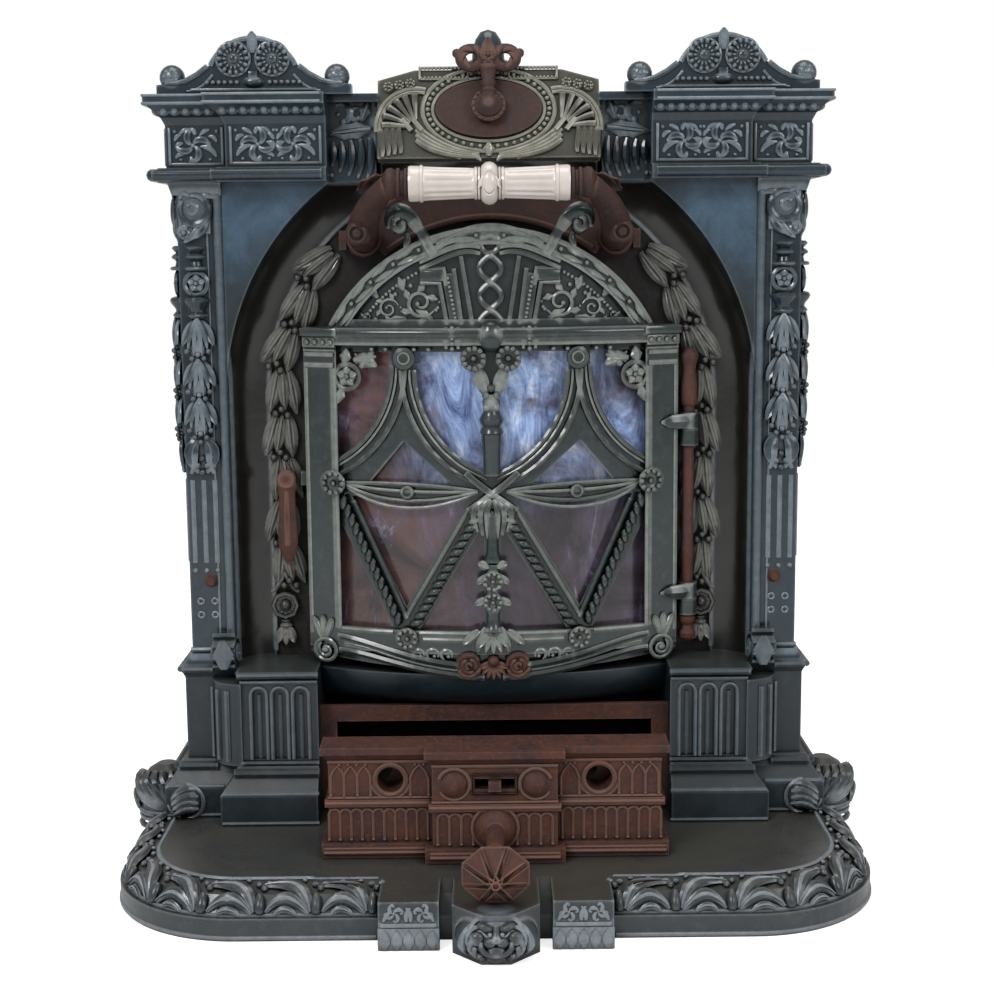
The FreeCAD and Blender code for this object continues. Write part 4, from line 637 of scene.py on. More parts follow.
# Pediments, cornices and friezes

pedimentLook = {
    "x": 193, "front": 2, "foot": 651, "dome": 40, "domeFoot": 6.1, "flower": 14.6, "apart": 16,
    "edge": ((73, 9.2), (64, 9.6), (56, 11.2), (46, 16.5), (37.5, 23)),
    "eye": [(4, 0), (3.6, 2.4), (2, 3.6), (0, 4)], "edgeWidths": [1.2, 1.8, 2.2, 2.2, 2.2],
    "point": [(6.4, 0), (5, 3), (0, 4.4)],
}


def carvePediments():
    bm = bmesh.new()
    look = pedimentLook
    wall = onWall(look["x"], look["front"], look["foot"])
    for side in sides:
        bloom = wall @ at(side * look["apart"], 28.5, 0.5)
        turned(bm, bloom, [(look["flower"], -1), (look["flower"], 1.8), (look["flower"] - 1.6, 2.4),
                           (look["flower"] - 3, 0.4), (0, 0.4)], 24)
        for number in range(14):
            petal = bloom @ turn(360 / 14 * number)
            bead(bm, petal @ at(look["flower"] * 0.78, 0, 1.8) @ grow(1.2, 0.85, 1), 2.4, 2.6)
            bead(bm, petal @ at(look["flower"] * 0.5, 0, 1.4) @ grow(1.5, 0.8, 1), 1.4, 2)
        turned(bm, bloom, look["eye"], 12)
        beadRow(bm, wall @ at(0, 9.5, 1.2), (side * 13.5, 0), (side * 38, 0), 6, 2.2)
        tube(bm, wall, [(side * x, y, 0.5) for x, y in look["edge"]], look["edgeWidths"])
        line = bezier((side * 55, 2.5, 0.8), (side * 44, 3.5), (side * 39, 9), (side * 33, 16, 0.8))
        tube(bm, wall, line, 1.3)
        ball = wall @ at(side * 68, 14.5, -8)
        bead(bm, ball, 10.5, 10.5, 18)
        beadRing(bm, ball @ at(0, 0, 8.4), 5.2, 7, 1.5)
        bead(bm, ball @ at(0, 0, 9.8), 1.7)
    tube(bm, wall, arc(0, look["domeFoot"], look["dome"] - 1, 26, 154, 18, 0.5), 2.2)
    bead(bm, wall @ at(0, 9.8, 0) @ grow(1, 0.55, 1), 9.5, 5, 12)
    leaf(bm, wall @ at(0, 33, 1), 17, 10, 4, 1.5, 1)
    turned(bm, wall @ at(0, 14.5, 0.5) @ turn(45), look["point"], 4)
    slab(bm, wall @ at(0, 4, 0), 104, 2.2, 1.6, 0.6)
    bothSides(bm)
    settle(bm, "pediment_carving", "stove_body", petrol)


corniceLook = {
    "eggLevel": 637.6, "eggTilt": 36, "egg": 3.1, "pitch": 8.6,
    # panel leaves: x, y, heading, length, bend, thickness; wing leaves: x, y, heading, length, width, lobes
    "panelLeaves": ((-0.44, -9, -20, 17, -90, 2.3), (-0.45, 3, -10, 9, -110, 1.9),
                    (0.45, -10, 30, 9, 100, 1.8), (0.46, 4, 10, 8, 90, 1.7), (-0.3, 13, -100, 10, -50, 1.7),
                    (0.12, 13.4, -90, 11, -60, 1.7), (0.16, -13, 90, 11, -60, 1.8),
                    (0.4, -3, -10, 8, 120, 1.6), (-0.36, -4, -60, 8, 110, 1.7)),
    "wingLeaves": ((-19, 8, -96, 36, 13, 3), (-17, 31, 200, 18, 9, 2)), "finialFoot": (0, 26, 676),
    "wing": (117, 24, 616), "wingSlabs": (((116, 21, 645), (50, 22, 7)), ((92, 28, 600), (16, 6, 52))),
    "wingCurls": ((6, 20, 9.5, 60, 200, 2.8), (-6, 20, 6, 120, -250, 2.2)), "panelLevel": 609.5,
    "panelHeight": 31,
    "panels": ((175.5, -4, 0, 76, 2), (242.6, 6, 0, 46, 1), (268, 46, 90, 68, 2), (268, 120, 90, 68, 2),
               (268, 194, 90, 68, 2)),
    "eggRuns": ((136, -11.2, 86, 0), (226, -1.2, 46, 0), (275.2, -1, 232, 90)),
    "plumes": ((-17, 1, 34), (-9, 0, 33), (-1, -1, 30), (7, -2, 26), (14, -3, 20)),
    "panelBeads": ((-0.46, 11.5), (0.46, 11.5), (-0.3, -11.5), (0.34, -11.5)),
    "shelfRuns": ((137, -19, 96, 0), (232, -9, 51, 0), (283, -9, 244, 90)),
    "rollRuns": ((137, -13.8, 91, 0), (228, -3.8, 49.8, 0), (277.8, -4, 240, 90)),
    "wingBeads": ((9, 20), (16, 5), (16, -30)),
    "finial": [(0, -4), (11, -2), (13.5, 4), (13, 12), (10.5, 20), (6.5, 26), (0, 28.4)],
}


def eggRow(bm, spot, length, look):
    count = max(2, round(length / look["pitch"]))
    for number in range(count):
        place = spot @ at((number + 0.5) * length / count, 0, 0) @ turn(look["eggTilt"], "X")
        bead(bm, place @ grow(1, 1.15, 1), look["egg"], 2.4)
        tube(bm, place, arc(0, 1, look["egg"] + 1.2, 180, 360, 5, 0.4), 0.8, 4)


def curl(bm, spot, radius, begin, sweep, thick):
    # tapered C-scroll with a berry at its inner end
    steps = max(5, int(abs(sweep) / 30))
    line, widths = [], []
    for step in range(steps + 1):
        share = step / steps
        angle = math.radians(begin + sweep * share)
        reach = radius * (1 - 0.34 * share)
        line.append((reach * math.cos(angle), reach * math.sin(angle), thick * 0.3))
        widths.append(thick * (0.45 + 0.75 * math.sin(math.pi * (0.1 + 0.75 * share))))
    tube(bm, spot, line, widths)
    bead(bm, spot @ at(*line[-1]), thick * 1.2)


def scrollPanel(bm, spot, width, height, scrolls):
    # panel between upright fillets, filled with whirling leaves
    for side in sides:
        slab(bm, spot @ at(side * (width / 2 - 1.2), 0, 0), 2.4, height, 2.2, 0.7)
    slab(bm, spot @ at(0, 1.2 - height / 2, 0), width, 2.4, 1.6, 0.6)
    pitch = (width - 8) / scrolls
    big = height * 0.43
    for number in range(scrolls):
        way = -1 if number % 2 else 1
        unit = spot @ at((number - (scrolls - 1) / 2) * pitch, 0.8, 0) @ grow(way, 1, 1)
        whirl(bm, unit @ at(2.5, 0, 0), big, 4, 20)
        for x, y, angle, length, bend, thick in corniceLook["panelLeaves"]:
            comma(bm, unit @ at(pitch * x, y, 0) @ turn(angle), length, bend, thick)
        for x, y in corniceLook["panelBeads"]:
            bead(bm, unit @ at(pitch * x, y, 0.3), 1.7)


def carveCornices():
    bm = bmesh.new()
    look = corniceLook
    for x, y, length, yaw in look["eggRuns"]:
        eggRow(bm, onWall(x, y, look["eggLevel"], yaw), length, look)
    for x, y, yaw, width, scrolls in look["panels"]:
        scrollPanel(bm, onWall(x, y, look["panelLevel"], yaw), width, look["panelHeight"], scrolls)
    for level, thick in ((643.6, 1.3), (650, 1.2)):    # edges of the shelf
        for x, y, length, yaw in look["shelfRuns"]:
            tube(bm, onWall(x, y, level, yaw), [(0, 0, 0), (length, 0, 0)], thick)
    for x, y, length, yaw in look["rollRuns"]:    # roll under the frieze
        tube(bm, onWall(x, y, 586, yaw), [(0, 0, 0), (length, 0, 0)], 5.1, 10)
    wing = onWall(*look["wing"])    # leaves between cornice and crest
    for place, size in look["wingSlabs"]:
        slab(bm, at(*place), *size, 1)
    for x, y, radius, begin, sweep, thick in look["wingCurls"]:
        curl(bm, wing @ at(x, y, 0), radius, begin, sweep, thick)
    for x, y, angle, length, width, lobes in look["wingLeaves"]:
        leaf(bm, wing @ at(x, y, 0.6) @ turn(angle), length, width, 5, 3, lobes, 9)
        tube(bm, wing @ at(x, y, 0.6) @ turn(angle),
             [(0, 1, 3), (0, length * 0.5, 5.4), (0, length * 0.92, 5)], [1.6, 1.3, 0.7])
    for x, y, length in look["plumes"]:
        comma(bm, wing @ at(x, y, 0.6) @ turn(168), length, 38, 3.3, 0.95)
    beads(bm, wing, look["wingBeads"], 1, 2.4)
    bothSides(bm)
    turned(bm, at(*look["finialFoot"]), look["finial"], 20)
    settle(bm, "cornice_carving", "stove_body", petrol)


# Crest with its oval, and the damper key

crestLook = {
    "foot": (0, -2, 598), "lean": 72, "hub": 42, "oval": (49, 31), "beads": 44,
    "pleat": [(6, 0, 0.6), (14, 0, 1.4), (22, 0, 1.8), (28, 0, 1)],
    "clothWidths": [2, 2.6, 3, 3, 2.8, 2.4, 1.9, 1.4],
    "swagWidths": [2, 2.2, 2.5, 2.6, 2.6, 2.5, 2.4, 2.2, 2, 1.8, 1.5, 1.2],
    "footLeaves": ((16, 4, 105), (34, 4, 95), (48, 8, 80)),
}
crestSpot = at(*crestLook["foot"]) @ turn(crestLook["lean"], "X")


def ovalLine(width, height, steps, lift=0.0, middle=0.0):
    return [(width * math.cos(fullTurn * step / steps), middle + height * math.sin(fullTurn * step / steps),
             lift) for step in range(steps)]


def carveCrest():
    bm = bmesh.new()
    look = crestLook
    width, height = look["oval"]
    for x, y, lift in ovalLine(width + 1.5, height + 1.5, look["beads"], 1, look["hub"]):
        bead(bm, crestSpot @ at(x, y, lift), 2.1)
    tube(bm, crestSpot, ovalLine(width + 6, height + 5.5, 40, 0.4, look["hub"]), 2, closed=True)
    tube(bm, crestSpot, ovalLine(width - 2.5, height - 3, 40, 0.6, look["hub"]), 1.5, closed=True)
    half = bmesh.new()
    framing(half, crestSpot @ at(37, 73.5, 0), 42, 12, 2, 2.4)    # tablet with two rows of beads
    for level in (69.4, 77.6):
        beadRow(half, crestSpot @ at(0, level, 2.2), (18, 0), (56, 0), 13, 1.3)
    tie = crestSpot @ at(60, 27, 1)
    for number in range(6):    # fan of pleats over the tie
        tube(half, tie @ turn(2 + 17 * number), look["pleat"], [1.4, 2.2, 3, 3.2], 8)
    for reach in (30, 33.4):
        tube(half, tie, arc(0, 0, reach, -8, 104, 16, 0.4), 1.7)
    for number in range(4):    # cloth that hangs from the outer end of the fan
        line = bezier((89 - 5 * number, 28, 1), (92 - 5 * number, 18, 2), (86 - 5 * number, 10, 2),
                      (88 - 5 * number, 1 + number, 1), 8)
        tube(half, crestSpot, line, look["clothWidths"])
    for number in range(4):    # swag from the tie to the foot of the oval
        line = bezier((60, 29 - 4.6 * number, 1), (50, 15 - 3.4 * number, 2), (30, 5 - 1.6 * number, 2),
                      (8, 3.2 - 0.9 * number, 1), 12)
        tube(half, crestSpot, line, look["swagWidths"])
    for x in (65, 74, 83):    # flowers in the shoulder
        flower(half, crestSpot @ at(x, 64.5 - (x - 65) * 0.16, 0.6), 4.4, 7, 3)
    for number in range(2):
        tube(half, tie, [(-5 + 9 * number, -4, 2), (3 + 9 * number, 6, 2)], 2.2, 6, 0.7)
    for x, y, angle in look["footLeaves"]:
        comma(half, crestSpot @ at(x, y, 0.5) @ turn(angle), 12, 50, 2.2)
    bothSides(half)
    pour(bm, half, at())
    leaf(bm, crestSpot @ at(0, 1, 0.5), 12, 9, 4, 2, 2)
    tube(bm, crestSpot, arc(0, 49.4, 37, 47, 133, 14, 0), 2)
    settle(bm, "crest_carving", "stove_body", crestGlaze)


keyLook = {
    "lift": 9, "thick": 4.4, "bow": 8.6,
    "hubProfile": [(0, 0), (14, 0), (14, 1.6), (12, 2.4), (10.5, 2.4), (10.5, 4), (8.5, 5), (7, 7), (4, 8),
                   (0, 8.2)],
    "shaft": [(0, 7, 0), (0, 11, 0), (0, 14, 0), (0, 18, 0), (0, 21, 0), (0, 27, 0), (0, 33, 0)],
    "shaftWidths": [5.2, 7, 5, 6.6, 5, 6.4, 8], "bowLeaves": ((-60, 90), (0, 90), (60, 80), (130, 60)),
}


def forgeKey():
    bm = bmesh.new()
    look = keyLook
    spot = crestSpot @ at(0, crestLook["hub"], look["lift"] + 3.5)
    turned(bm, spot @ at(0, 0, -3.5), look["hubProfile"], 24)
    beadRing(bm, spot @ at(0, 0, -1.2), 12.6, 16, 1.2)
    tube(bm, spot, look["shaft"], look["shaftWidths"], 12, 0.72)
    for side in sides:
        lobe = spot @ at(side * 14, 40, 0)
        ring(bm, lobe @ grow(1.05, 0.95, 0.75), look["bow"], look["thick"], 22, 10)
        for angle, bend in look["bowLeaves"]:
            comma(bm, lobe @ grow(side, 1, 1) @ turn(angle) @ at(look["bow"], -4, 2), 10, bend, 2)
        bead(bm, lobe @ at(side * 12, 4, 0), 4, 3.4, 10)
    leaf(bm, spot @ at(0, 30, 2.4), 26, 13, 3.4, 1, 2, 9)
    rosette(bm, spot @ at(0, 40, 3.4), 6, 6, 4)
    piece = settle(bm, "bow_key", "damper", brownIron)
    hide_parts("damper_key")


# Porcelain grip and its iron arms

gripLook = {
    "place": (0, -62, 575), "shellAngles": (146, 163, 180, 197, 214), "flutes": 14, "depth": 0.055,
    "stations": [(9.2, 9, 0), (9.6, 12.6, 0), (11.4, 13, 0), (12, 12, 0), (13, 12, 0.2), (16, 12.2, 1),
                 (48, 13.4, 1), (51, 13.6, 0.2), (52, 13.6, 0), (52.6, 14.6, 0), (54.6, 14.8, 0),
                 (55.2, 13.9, 0), (62, 14.2, 0), (63.8, 13.6, 0), (64, 9, 0)],
    "eggProfile": [(8, -9.2), (12.5, -9), (13, -7.4), (11.8, -7), (14.4, -5.6), (16.4, -3), (17, 0),
                   (16.4, 3), (14.4, 5.6), (11.8, 7), (13, 7.4), (12.5, 9), (8, 9.2), (8, -9.2)],
}


def gripSpot():
    return at(*gripLook["place"]) @ turn(90, "Y")    # local z runs to the right


def fluted(bm, spot, stations, flutes, depth):
    # stations: place along z, radius, and how far the flutes are cut
    form = bmesh.new()
    loop = bmesh.ops.create_circle(form, segments=flutes * 4, radius=1)["verts"]
    rims = firstRims = form.edges[:]
    for number, (place, radius, cut) in enumerate(stations):
        if number:
            loop, rims = nextLoop(form, rims)
        for vert in loop:
            angle = math.atan2(vert.co.y, vert.co.x)
            reach = radius * (1 - depth * cut * (0.5 + 0.5 * math.cos(flutes * angle)) ** 2)
            vert.co = (reach * math.cos(angle), reach * math.sin(angle), place)
    bmesh.ops.edgeloop_fill(form, edges=firstRims)
    bmesh.ops.edgeloop_fill(form, edges=rims)
    pour(bm, form, spot)


def fireGrip():
    look = gripLook
    for side, name in ((-1, "left"), (1, "right")):
        bm = bmesh.new()
        spot = gripSpot() if side > 0 else gripSpot() @ grow(1, 1, -1)
        fluted(bm, spot, look["stations"], look["flutes"], look["depth"] * 2.2)
        piece = settle(bm, "porcelain_" + name, "hood_flap", porcelain, 50)
        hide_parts("grip_" + name)
    bm = bmesh.new()
    spot = gripSpot()
    turned(bm, spot, look["eggProfile"], 32)
    face = at(*look["place"]) @ turn(90, "X") @ at(0, 0, 16.2)    # carved shell on the front of the egg
    fan(bm, face @ at(0, 9, -1.8), look["shellAngles"], 16, 5, 1.6, 0, 0, 5)
    ring(bm, face @ at(0, 0, -1.4) @ grow(0.62, 1.1, 1), 9, 1, 20)
    piece = settle(bm, "porcelain_egg", "hood_flap", porcelain, 50)
    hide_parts("grip_egg")


armLook = {
    "boss": (106, 16, 532), "scroll": (108, -12, 537), "hood": (0, 36, 399), "hoodRims": (153, 185),
    "bossProfile": [(0, 0), (13, 0), (13, 13), (15, 15), (15, 18), (13.6, 20), (11.5, 20.6), (11, 18.6),
                    (8, 18.6), (7.6, 22), (5.5, 23), (5, 24.5), (0, 25)],
    "armPath": ((106, 18, 532), (106, -24, 543), (98, -50, 562), (78, -62, 575)),
    "armWidths": [13.5, 13.4, 13.2, 13, 12.6, 12.2, 11.8, 11.4, 11, 10.8, 10.6, 10.4],
    "scrollProfile": [(0, -6), (8.6, -6), (8.6, 14), (9.6, 16), (9.6, 19), (8, 21), (6, 21.4), (5.6, 19.6),
                      (4, 19.6), (3.4, 22), (0, 23)],
    "armLeaves": ((0, 0, 40), (-5, 16, 30), (5, -16, 30)),
    "ferruleProfile": [(4.2, 0), (11.4, 0), (12.2, 1), (12.2, 3), (10.2, 4), (10.2, 6), (12.4, 7), (12.4, 9),
                       (11, 10.5), (12.6, 13), (12, 17), (8, 20), (0, 21)],
}


def forgeArms():
    bm = bmesh.new()
    look = armLook
    boss = onWall(*look["boss"])
    turned(bm, boss @ at(0, 0, -20), look["bossProfile"], 24)
    line = bezier(*look["armPath"], 12)
    tube(bm, at(), line, look["armWidths"], 14, 0.8)
    # eye of the scroll at the root of the arm
    turned(bm, onWall(*look["scroll"]), look["scrollProfile"], 20)
    # from the grip back along the arm
    down = Vector((24, 62, -34)).to_track_quat("Y", "Z").to_matrix().to_4x4()
    for shift, angle, length in look["armLeaves"]:
        leaf(bm, at(83, -58, 576) @ down @ at(shift, 0, 6) @ turn(angle), length, 13, 4.5, 2, 2, 9)
    turned(bm, gripSpot() @ at(0, 0, 64), look["ferruleProfile"], 20)
    bothSides(bm)
    piece = settle(bm, "grip_arms", "hood_flap", brownIron)
    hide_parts("flap_arm_left", "flap_arm_right", "ferrules")
    bm = bmesh.new()    # dished hood plate edge
    for radius in look["hoodRims"]:
        tube(bm, onWall(*look["hood"]), arc(0, 0, radius, 55, 125, 28, 0.2), 2.2)
    settle(bm, "hood_edges", "hood_flap", brownIron)


carvePediments()
carveCornices()
carveCrest()
forgeKey()
fireGrip()
forgeArms()
print("upper work carved")


# Pilaster drops and the laurel band of the fire mouth

dropLook = {
    "front": (247, 12), "side": (262, 30), "scroll": 556, "tiers": (468, 434, 401), "tier": 33, "width": 25,
    "plates": ((556, 27, 36), (352, 20, 30)),
    "leaves": ((-5, 12, 62, 13, 70, 2.6), (3, 13, -40, 12, -80, 2.4), (11, 11, -6, 8, 100, 2),
               (-11, -6, 196, 22, 60, 3.4), (-3, -10, 190, 20, 70, 3), (5, -9, 205, 12, 80, 2.4)),
    "upperTurning": [(0, 0), (9.5, 0), (10.5, 1.4), (9.5, 2.8), (6, 3.6), (5.2, 7), (6.4, 9), (8.6, 10),
                     (9, 11.5), (7.6, 13), (5, 14.5), (7.4, 17), (8.6, 18.6), (7, 20.4), (0, 21)],
    "lowerTurning": [(0, 0), (8, 0), (9.6, 2), (8, 4), (6.6, 5.4), (7.4, 8), (10.6, 12), (11.6, 14.4),
                     (10.4, 16.8), (7, 18), (0, 18.4)],
    "tierCore": [(0, -2), (5, -2), (9.4, 6), (8.6, 14), (5, 26), (3.6, 33), (0, 34)],
    "tailWidths": [2, 3, 3.8, 4.2, 4.2, 4, 3.4, 2.8, 2], "curlWidths": [2, 2.6, 3, 3.2, 3, 2.6, 2.2, 1.6],
    "berries": ((0, 349), (-4, 343), (4, 343), (0, 337), (-7, 350), (7, 350)),
}


def hangDrop(bm, wall):
    look = dropLook
    hook = wall @ at(0, look["scroll"], 0)
    scrollWidths = [1.4 + 2.1 * math.sin(math.pi * (0.08 + 0.84 * step / 22)) for step in range(23)]
    tube(bm, hook, arc(0, 2, 12.2, 78, 396, 22, 3), scrollWidths, 8)
    curl(bm, hook @ at(2, 3.6, 1.6), 5.6, 320, -280, 1.9)
    for x, y, angle, length, bend, thick in look["leaves"]:
        comma(bm, hook @ at(x, y, 2) @ turn(angle), length, bend, thick)
    volute(bm, hook @ at(8, -17, 1.5), 6, 1.3, 120, -1, 2.6)
    stem = wall @ turn(-90, "X")    # turned work along the drop
    turned(bm, stem @ at(0, 0, 508), look["upperTurning"], 14)
    ring(bm, wall @ at(0, 497, 4), 9.6, 2, 18)
    rosette(bm, wall @ at(0, 497, 2.5), 8, 5, 5)
    turned(bm, stem @ at(0, 0, 468), look["lowerTurning"], 14)
    for level in look["tiers"]:
        turned(bm, stem @ at(0, 0, level - look["tier"]), look["tierCore"], 12)
        husk(bm, wall @ at(0, level, 2), look["width"], look["tier"], 6.5)
    for level, width, height in look["plates"]:
        slab(bm, wall @ at(0, level, 0), width, height, 2.4, 1)
    for side in sides:    # ribbon tails under the drop
        line = bezier((side * 2, 366, 4), (side * 16, 360, 5), (side * 13, 346, 4), (side * 3, 337, 3), 9)
        tube(bm, wall, line, look["tailWidths"], 6, 0.6)
        line = bezier((side * 3, 364, 3), (side * 9, 352, 6), (side * 3, 346, 6), (side * 10, 336, 3), 8)
        tube(bm, wall, line, look["curlWidths"], 6, 0.7)
    beads(bm, wall, look["berries"], 4, 3.1)


pilasterLook = {
    "place": (247, 12, 0), "side": (262, 30, 0), "reeds": (-9.5, 0, 9.5), "sideReeds": (-10, 0, 10),
    "rolls": ((174, 5), (181, 3.2), (574.5, 5.6)), "edgeLine": [(0, 172, 0), (0, 578, 0)],
}


def carvePilasters():
    for name, wall in (("front", onWall(*dropLook["front"], 0)), ("side", onWall(*dropLook["side"], 0, 90))):
        bm = bmesh.new()
        hangDrop(bm, wall)
        bothSides(bm)
        piece = settle(bm, name + "_garlands", "stove_body", petrol)
        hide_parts(*(["front_drops"] if name == "front" else ["side_drop_left", "side_drop_right"]))
    bm = bmesh.new()
    look = pilasterLook
    wall, side = onWall(*look["place"]), onWall(*look["side"], 90)
    for x in look["reeds"]:
        tube(bm, wall, [(x, 330, 0), (x, 266, 0), (x, 258, 0)], 2.3)
        bead(bm, wall @ at(x, 251, 0), 2.6)
    for level, reach in look["rolls"]:    # base and cap rolls across the shaft
        tube(bm, wall, [(-21, level, 0), (15 + reach * 0.4, level, 0)], reach * 0.7)
    for x in (-6, 6):
        for level in (212, 224):
            ring(bm, wall @ at(x, level, 0.4), 2.5, 1, 12)
    for x in look["sideReeds"]:
        tube(bm, side, [(x, 330, 0), (x, 266, 0), (x, 258, 0)], 2.3)
    for x, reach in ((228, 1.8), (237, 1)):
        tube(bm, onWall(x, 11.4, 0), look["edgeLine"], reach)
    bothSides(bm)
    settle(bm, "pilaster_reeds", "stove_body", petrol)


laurelLook = {
    "radius": 182, "middle": 399, "pendantAngles": (154, 206, 180), "wall": 48, "foot": 232, "end": 43,
    "unit": 37,
    "flowerProfile": [(13, -2), (13, 4), (11.6, 6), (9.6, 5.6), (8.6, 3), (5.6, 2.6), (5, 5.4), (3, 7.6),
                      (0, 8.2)],
    "ribbonWidths": [1.4, 1.8, 2, 2, 2, 1.8, 1.5, 1.2],
    "pendantProfile": [(0, 0), (5, 0), (6, 1.6), (5, 3.2), (4, 4.4), (4.4, 7), (0, 7.4)],
}


def carveLaurel():
    bm = bmesh.new()
    look = laurelLook
    wall = onWall(0, look["wall"], 0)
    leg = look["middle"] - look["foot"]
    length = leg + look["radius"] * math.radians(look["end"])
    count = round(length / look["unit"])
    pitch = length / count
    for number in range(count):
        done = (number + 1) * pitch
        if done <= leg:
            place = at(look["radius"], look["foot"] + done, 2)
        else:
            angle = math.degrees((done - leg) / look["radius"])
            place = at(0, look["middle"], 2) @ turn(angle) @ at(look["radius"], 0, 0)
        unit = wall @ place @ turn(180)    # local y now runs down the band
        sway = 6 if number % 2 else -6
        for side in sides:
            sideLeaf = unit @ at(side * 4.5, 0, 0) @ turn(-side * 11 + sway)
            leaf(bm, sideLeaf, pitch * 1.02, 14, 6.5, 1.5, 0, 7)
            tube(bm, sideLeaf, [(0, 2, 3.4), (0, pitch * 0.4, 6.8), (0, pitch * 0.9, 6)], [1, 1.3, 0.7])
            bead(bm, unit @ at(side * 5.4 - sway * 0.5, pitch * 1.02, 5), 3.3)
        upper = unit @ at(0, 2, 3.2) @ turn(sway * 1.6)
        leaf(bm, upper, pitch * 0.86, 10, 5, 1.5, 0, 7)
        tube(bm, upper, [(0, 2, 3), (0, pitch * 0.36, 5.6), (0, pitch * 0.76, 5)], [1, 1.3, 0.7])
        bead(bm, unit @ at(-sway * 0.4, pitch * 0.9, 6.5), 2.8)
    low = wall @ at(look["radius"] + 2, 213, 2)    # eight-sided flower and the pendant under it
    turned(bm, low, look["flowerProfile"], 8)
    beadRing(bm, low @ at(0, 0, 3), 7.2, 12, 1)
    for side in sides:
        tube(bm, low, bezier((side * 12, 12, 2), (side * 7, 15, 3), (side * 3, 22, 3), (0, 30, 3), 8),
             look["ribbonWidths"])
    turned(bm, low @ at(0, -20, 1) @ turn(-90, "X"), look["pendantProfile"], 12)
    fan(bm, low @ at(0, -18, 2), look["pendantAngles"], 17, 10, 5, 3, 0)
    bothSides(bm)
    piece = settle(bm, "laurel_band", "stove_body", laurelGlaze)
    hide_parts("garland_left", "garland_right")
    bm = bmesh.new()
    line = [(193.5, 172, 0)] + arc(0, look["middle"], 193.5, 0, 180, 56) + [(-193.5, 172, 0)]
    tube(bm, onWall(0, 46, 0), line, 2, 8)
    settle(bm, "mouth_rolls", "stove_body", laurelGlaze)


# Fire door

doorLook = {"axis": 310, "wall": 326, "relief": 5, "rim": 386.3}
doorWall = onWall(0, 0, 0)


def bow(bm):
    # flat work is bent round the bow of the door, keeping its height above the wall
    for vert in bm.verts:
        reach = doorLook["wall"] - vert.co.y
        vert.co.y = doorLook["axis"] - math.sqrt(reach ** 2 - vert.co.x ** 2)


def onDoor(x, z, lift=0.0):
    return doorWall @ at(x, z, lift)


def rail(start, end, steps=12):
    # a straight line with enough stations to follow the bow
    return [Vector(start).lerp(Vector(end), step / steps) for step in range(steps + 1)]


def rope(bm, start, end, count, lift, size, skew):
    ahead = (Vector(end) - Vector(start)).to_3d()
    angle = math.degrees(math.atan2(ahead.y, ahead.x))
    for number in range(count):
        place = Vector(start).to_3d() + ahead * ((number + 0.5) / count)
        bead(bm, doorWall @ at(place.x, place.y, lift) @ turn(angle + skew) @ grow(1.42, 0.72, 1), size)


tympanumLook = {
    "buds": 6, "beads": 17, "shoulder": (66, 545, 2),
    "slabs": ((47, 502, 0, 0, 22, 9, 3.4, 1), (32.5, 484, 0, -9, 9, 40, 3.4, 1),
              (146, 455.5, 6, 0, 33, 7, 8, 1.4), (146, 447, 4, 0, 29, 9, 6, 1)),
    "beadRows": (((35, 500, 4), (28.6, 464, 4), 11, 1.6), ((32, 459, 9), (32, 442, 9), 5, 2.1),
                 ((135.5, 447, 10), (156.5, 447, 10), 4, 3)),
    "bars": ((454.6, 7.6, 132, 5, 10), (446, 8.4, 132, 1.4, 6)),
    "scrolls": ((58, 480, 13, 1, 210, 5), (85, 475, 9, -1, 160, 4), (103, 468, 5, 1, 200, 3)),
    "rims": ((154, 29, 2.4), (142.6, 31.5, 1.8)),
    "earStem": ((-20, -26, 2), (-13, -16, 3), (-10, -6, 4), (-2, 2, 4)),
    "earStemWidths": [5.4, 5.4, 5.2, 5, 4.8, 4.6, 4.6, 4.6],
    "earCurl": ((-8, -6, 4), (2, 15, 5), (19, 15, 5), (18, -4, 3)),
    "earCurlWidths": [4.4, 5.6, 6.4, 7, 7.2, 7.2, 6.8, 5.8, 4.6, 3.4, 1.8],
    "earTail": ((-22, -17, 2), (-34, -12, 2), (-50, -2, 2), (-70, -4, 2)),
    "ribbonWidths": [1.6, 2, 2.3, 2.4, 2.4, 2.4, 2.3, 2.1, 1.8, 1.4],
    "panelLines": ([(24, 518, 3), (15, 462, 3)], [(58, 508, 3), (38, 508, 3), (36, 494, 3)],
                   [(58, 496, 3), (42, 496, 3), (36, 462, 3)], [(30, 508, 3), (24, 462, 3)]),
    "leaves": ((48, 466, -60, 16), (70, 467, -100, 18), (94, 484, -40, 14), (72, 490, -20, 12),
               (112, 463, -80, 14)),
    "berries": ((45, 474), (72, 474), (79, 487), (96, 466), (66, 494), (89, 464)),
    "rivets": (100, 88, 76, 64, 52), "capRolls": ((440.6, 1.6, 14), (436.5, 2, 12.5), (427.5, 2.3, 12.5)),
}


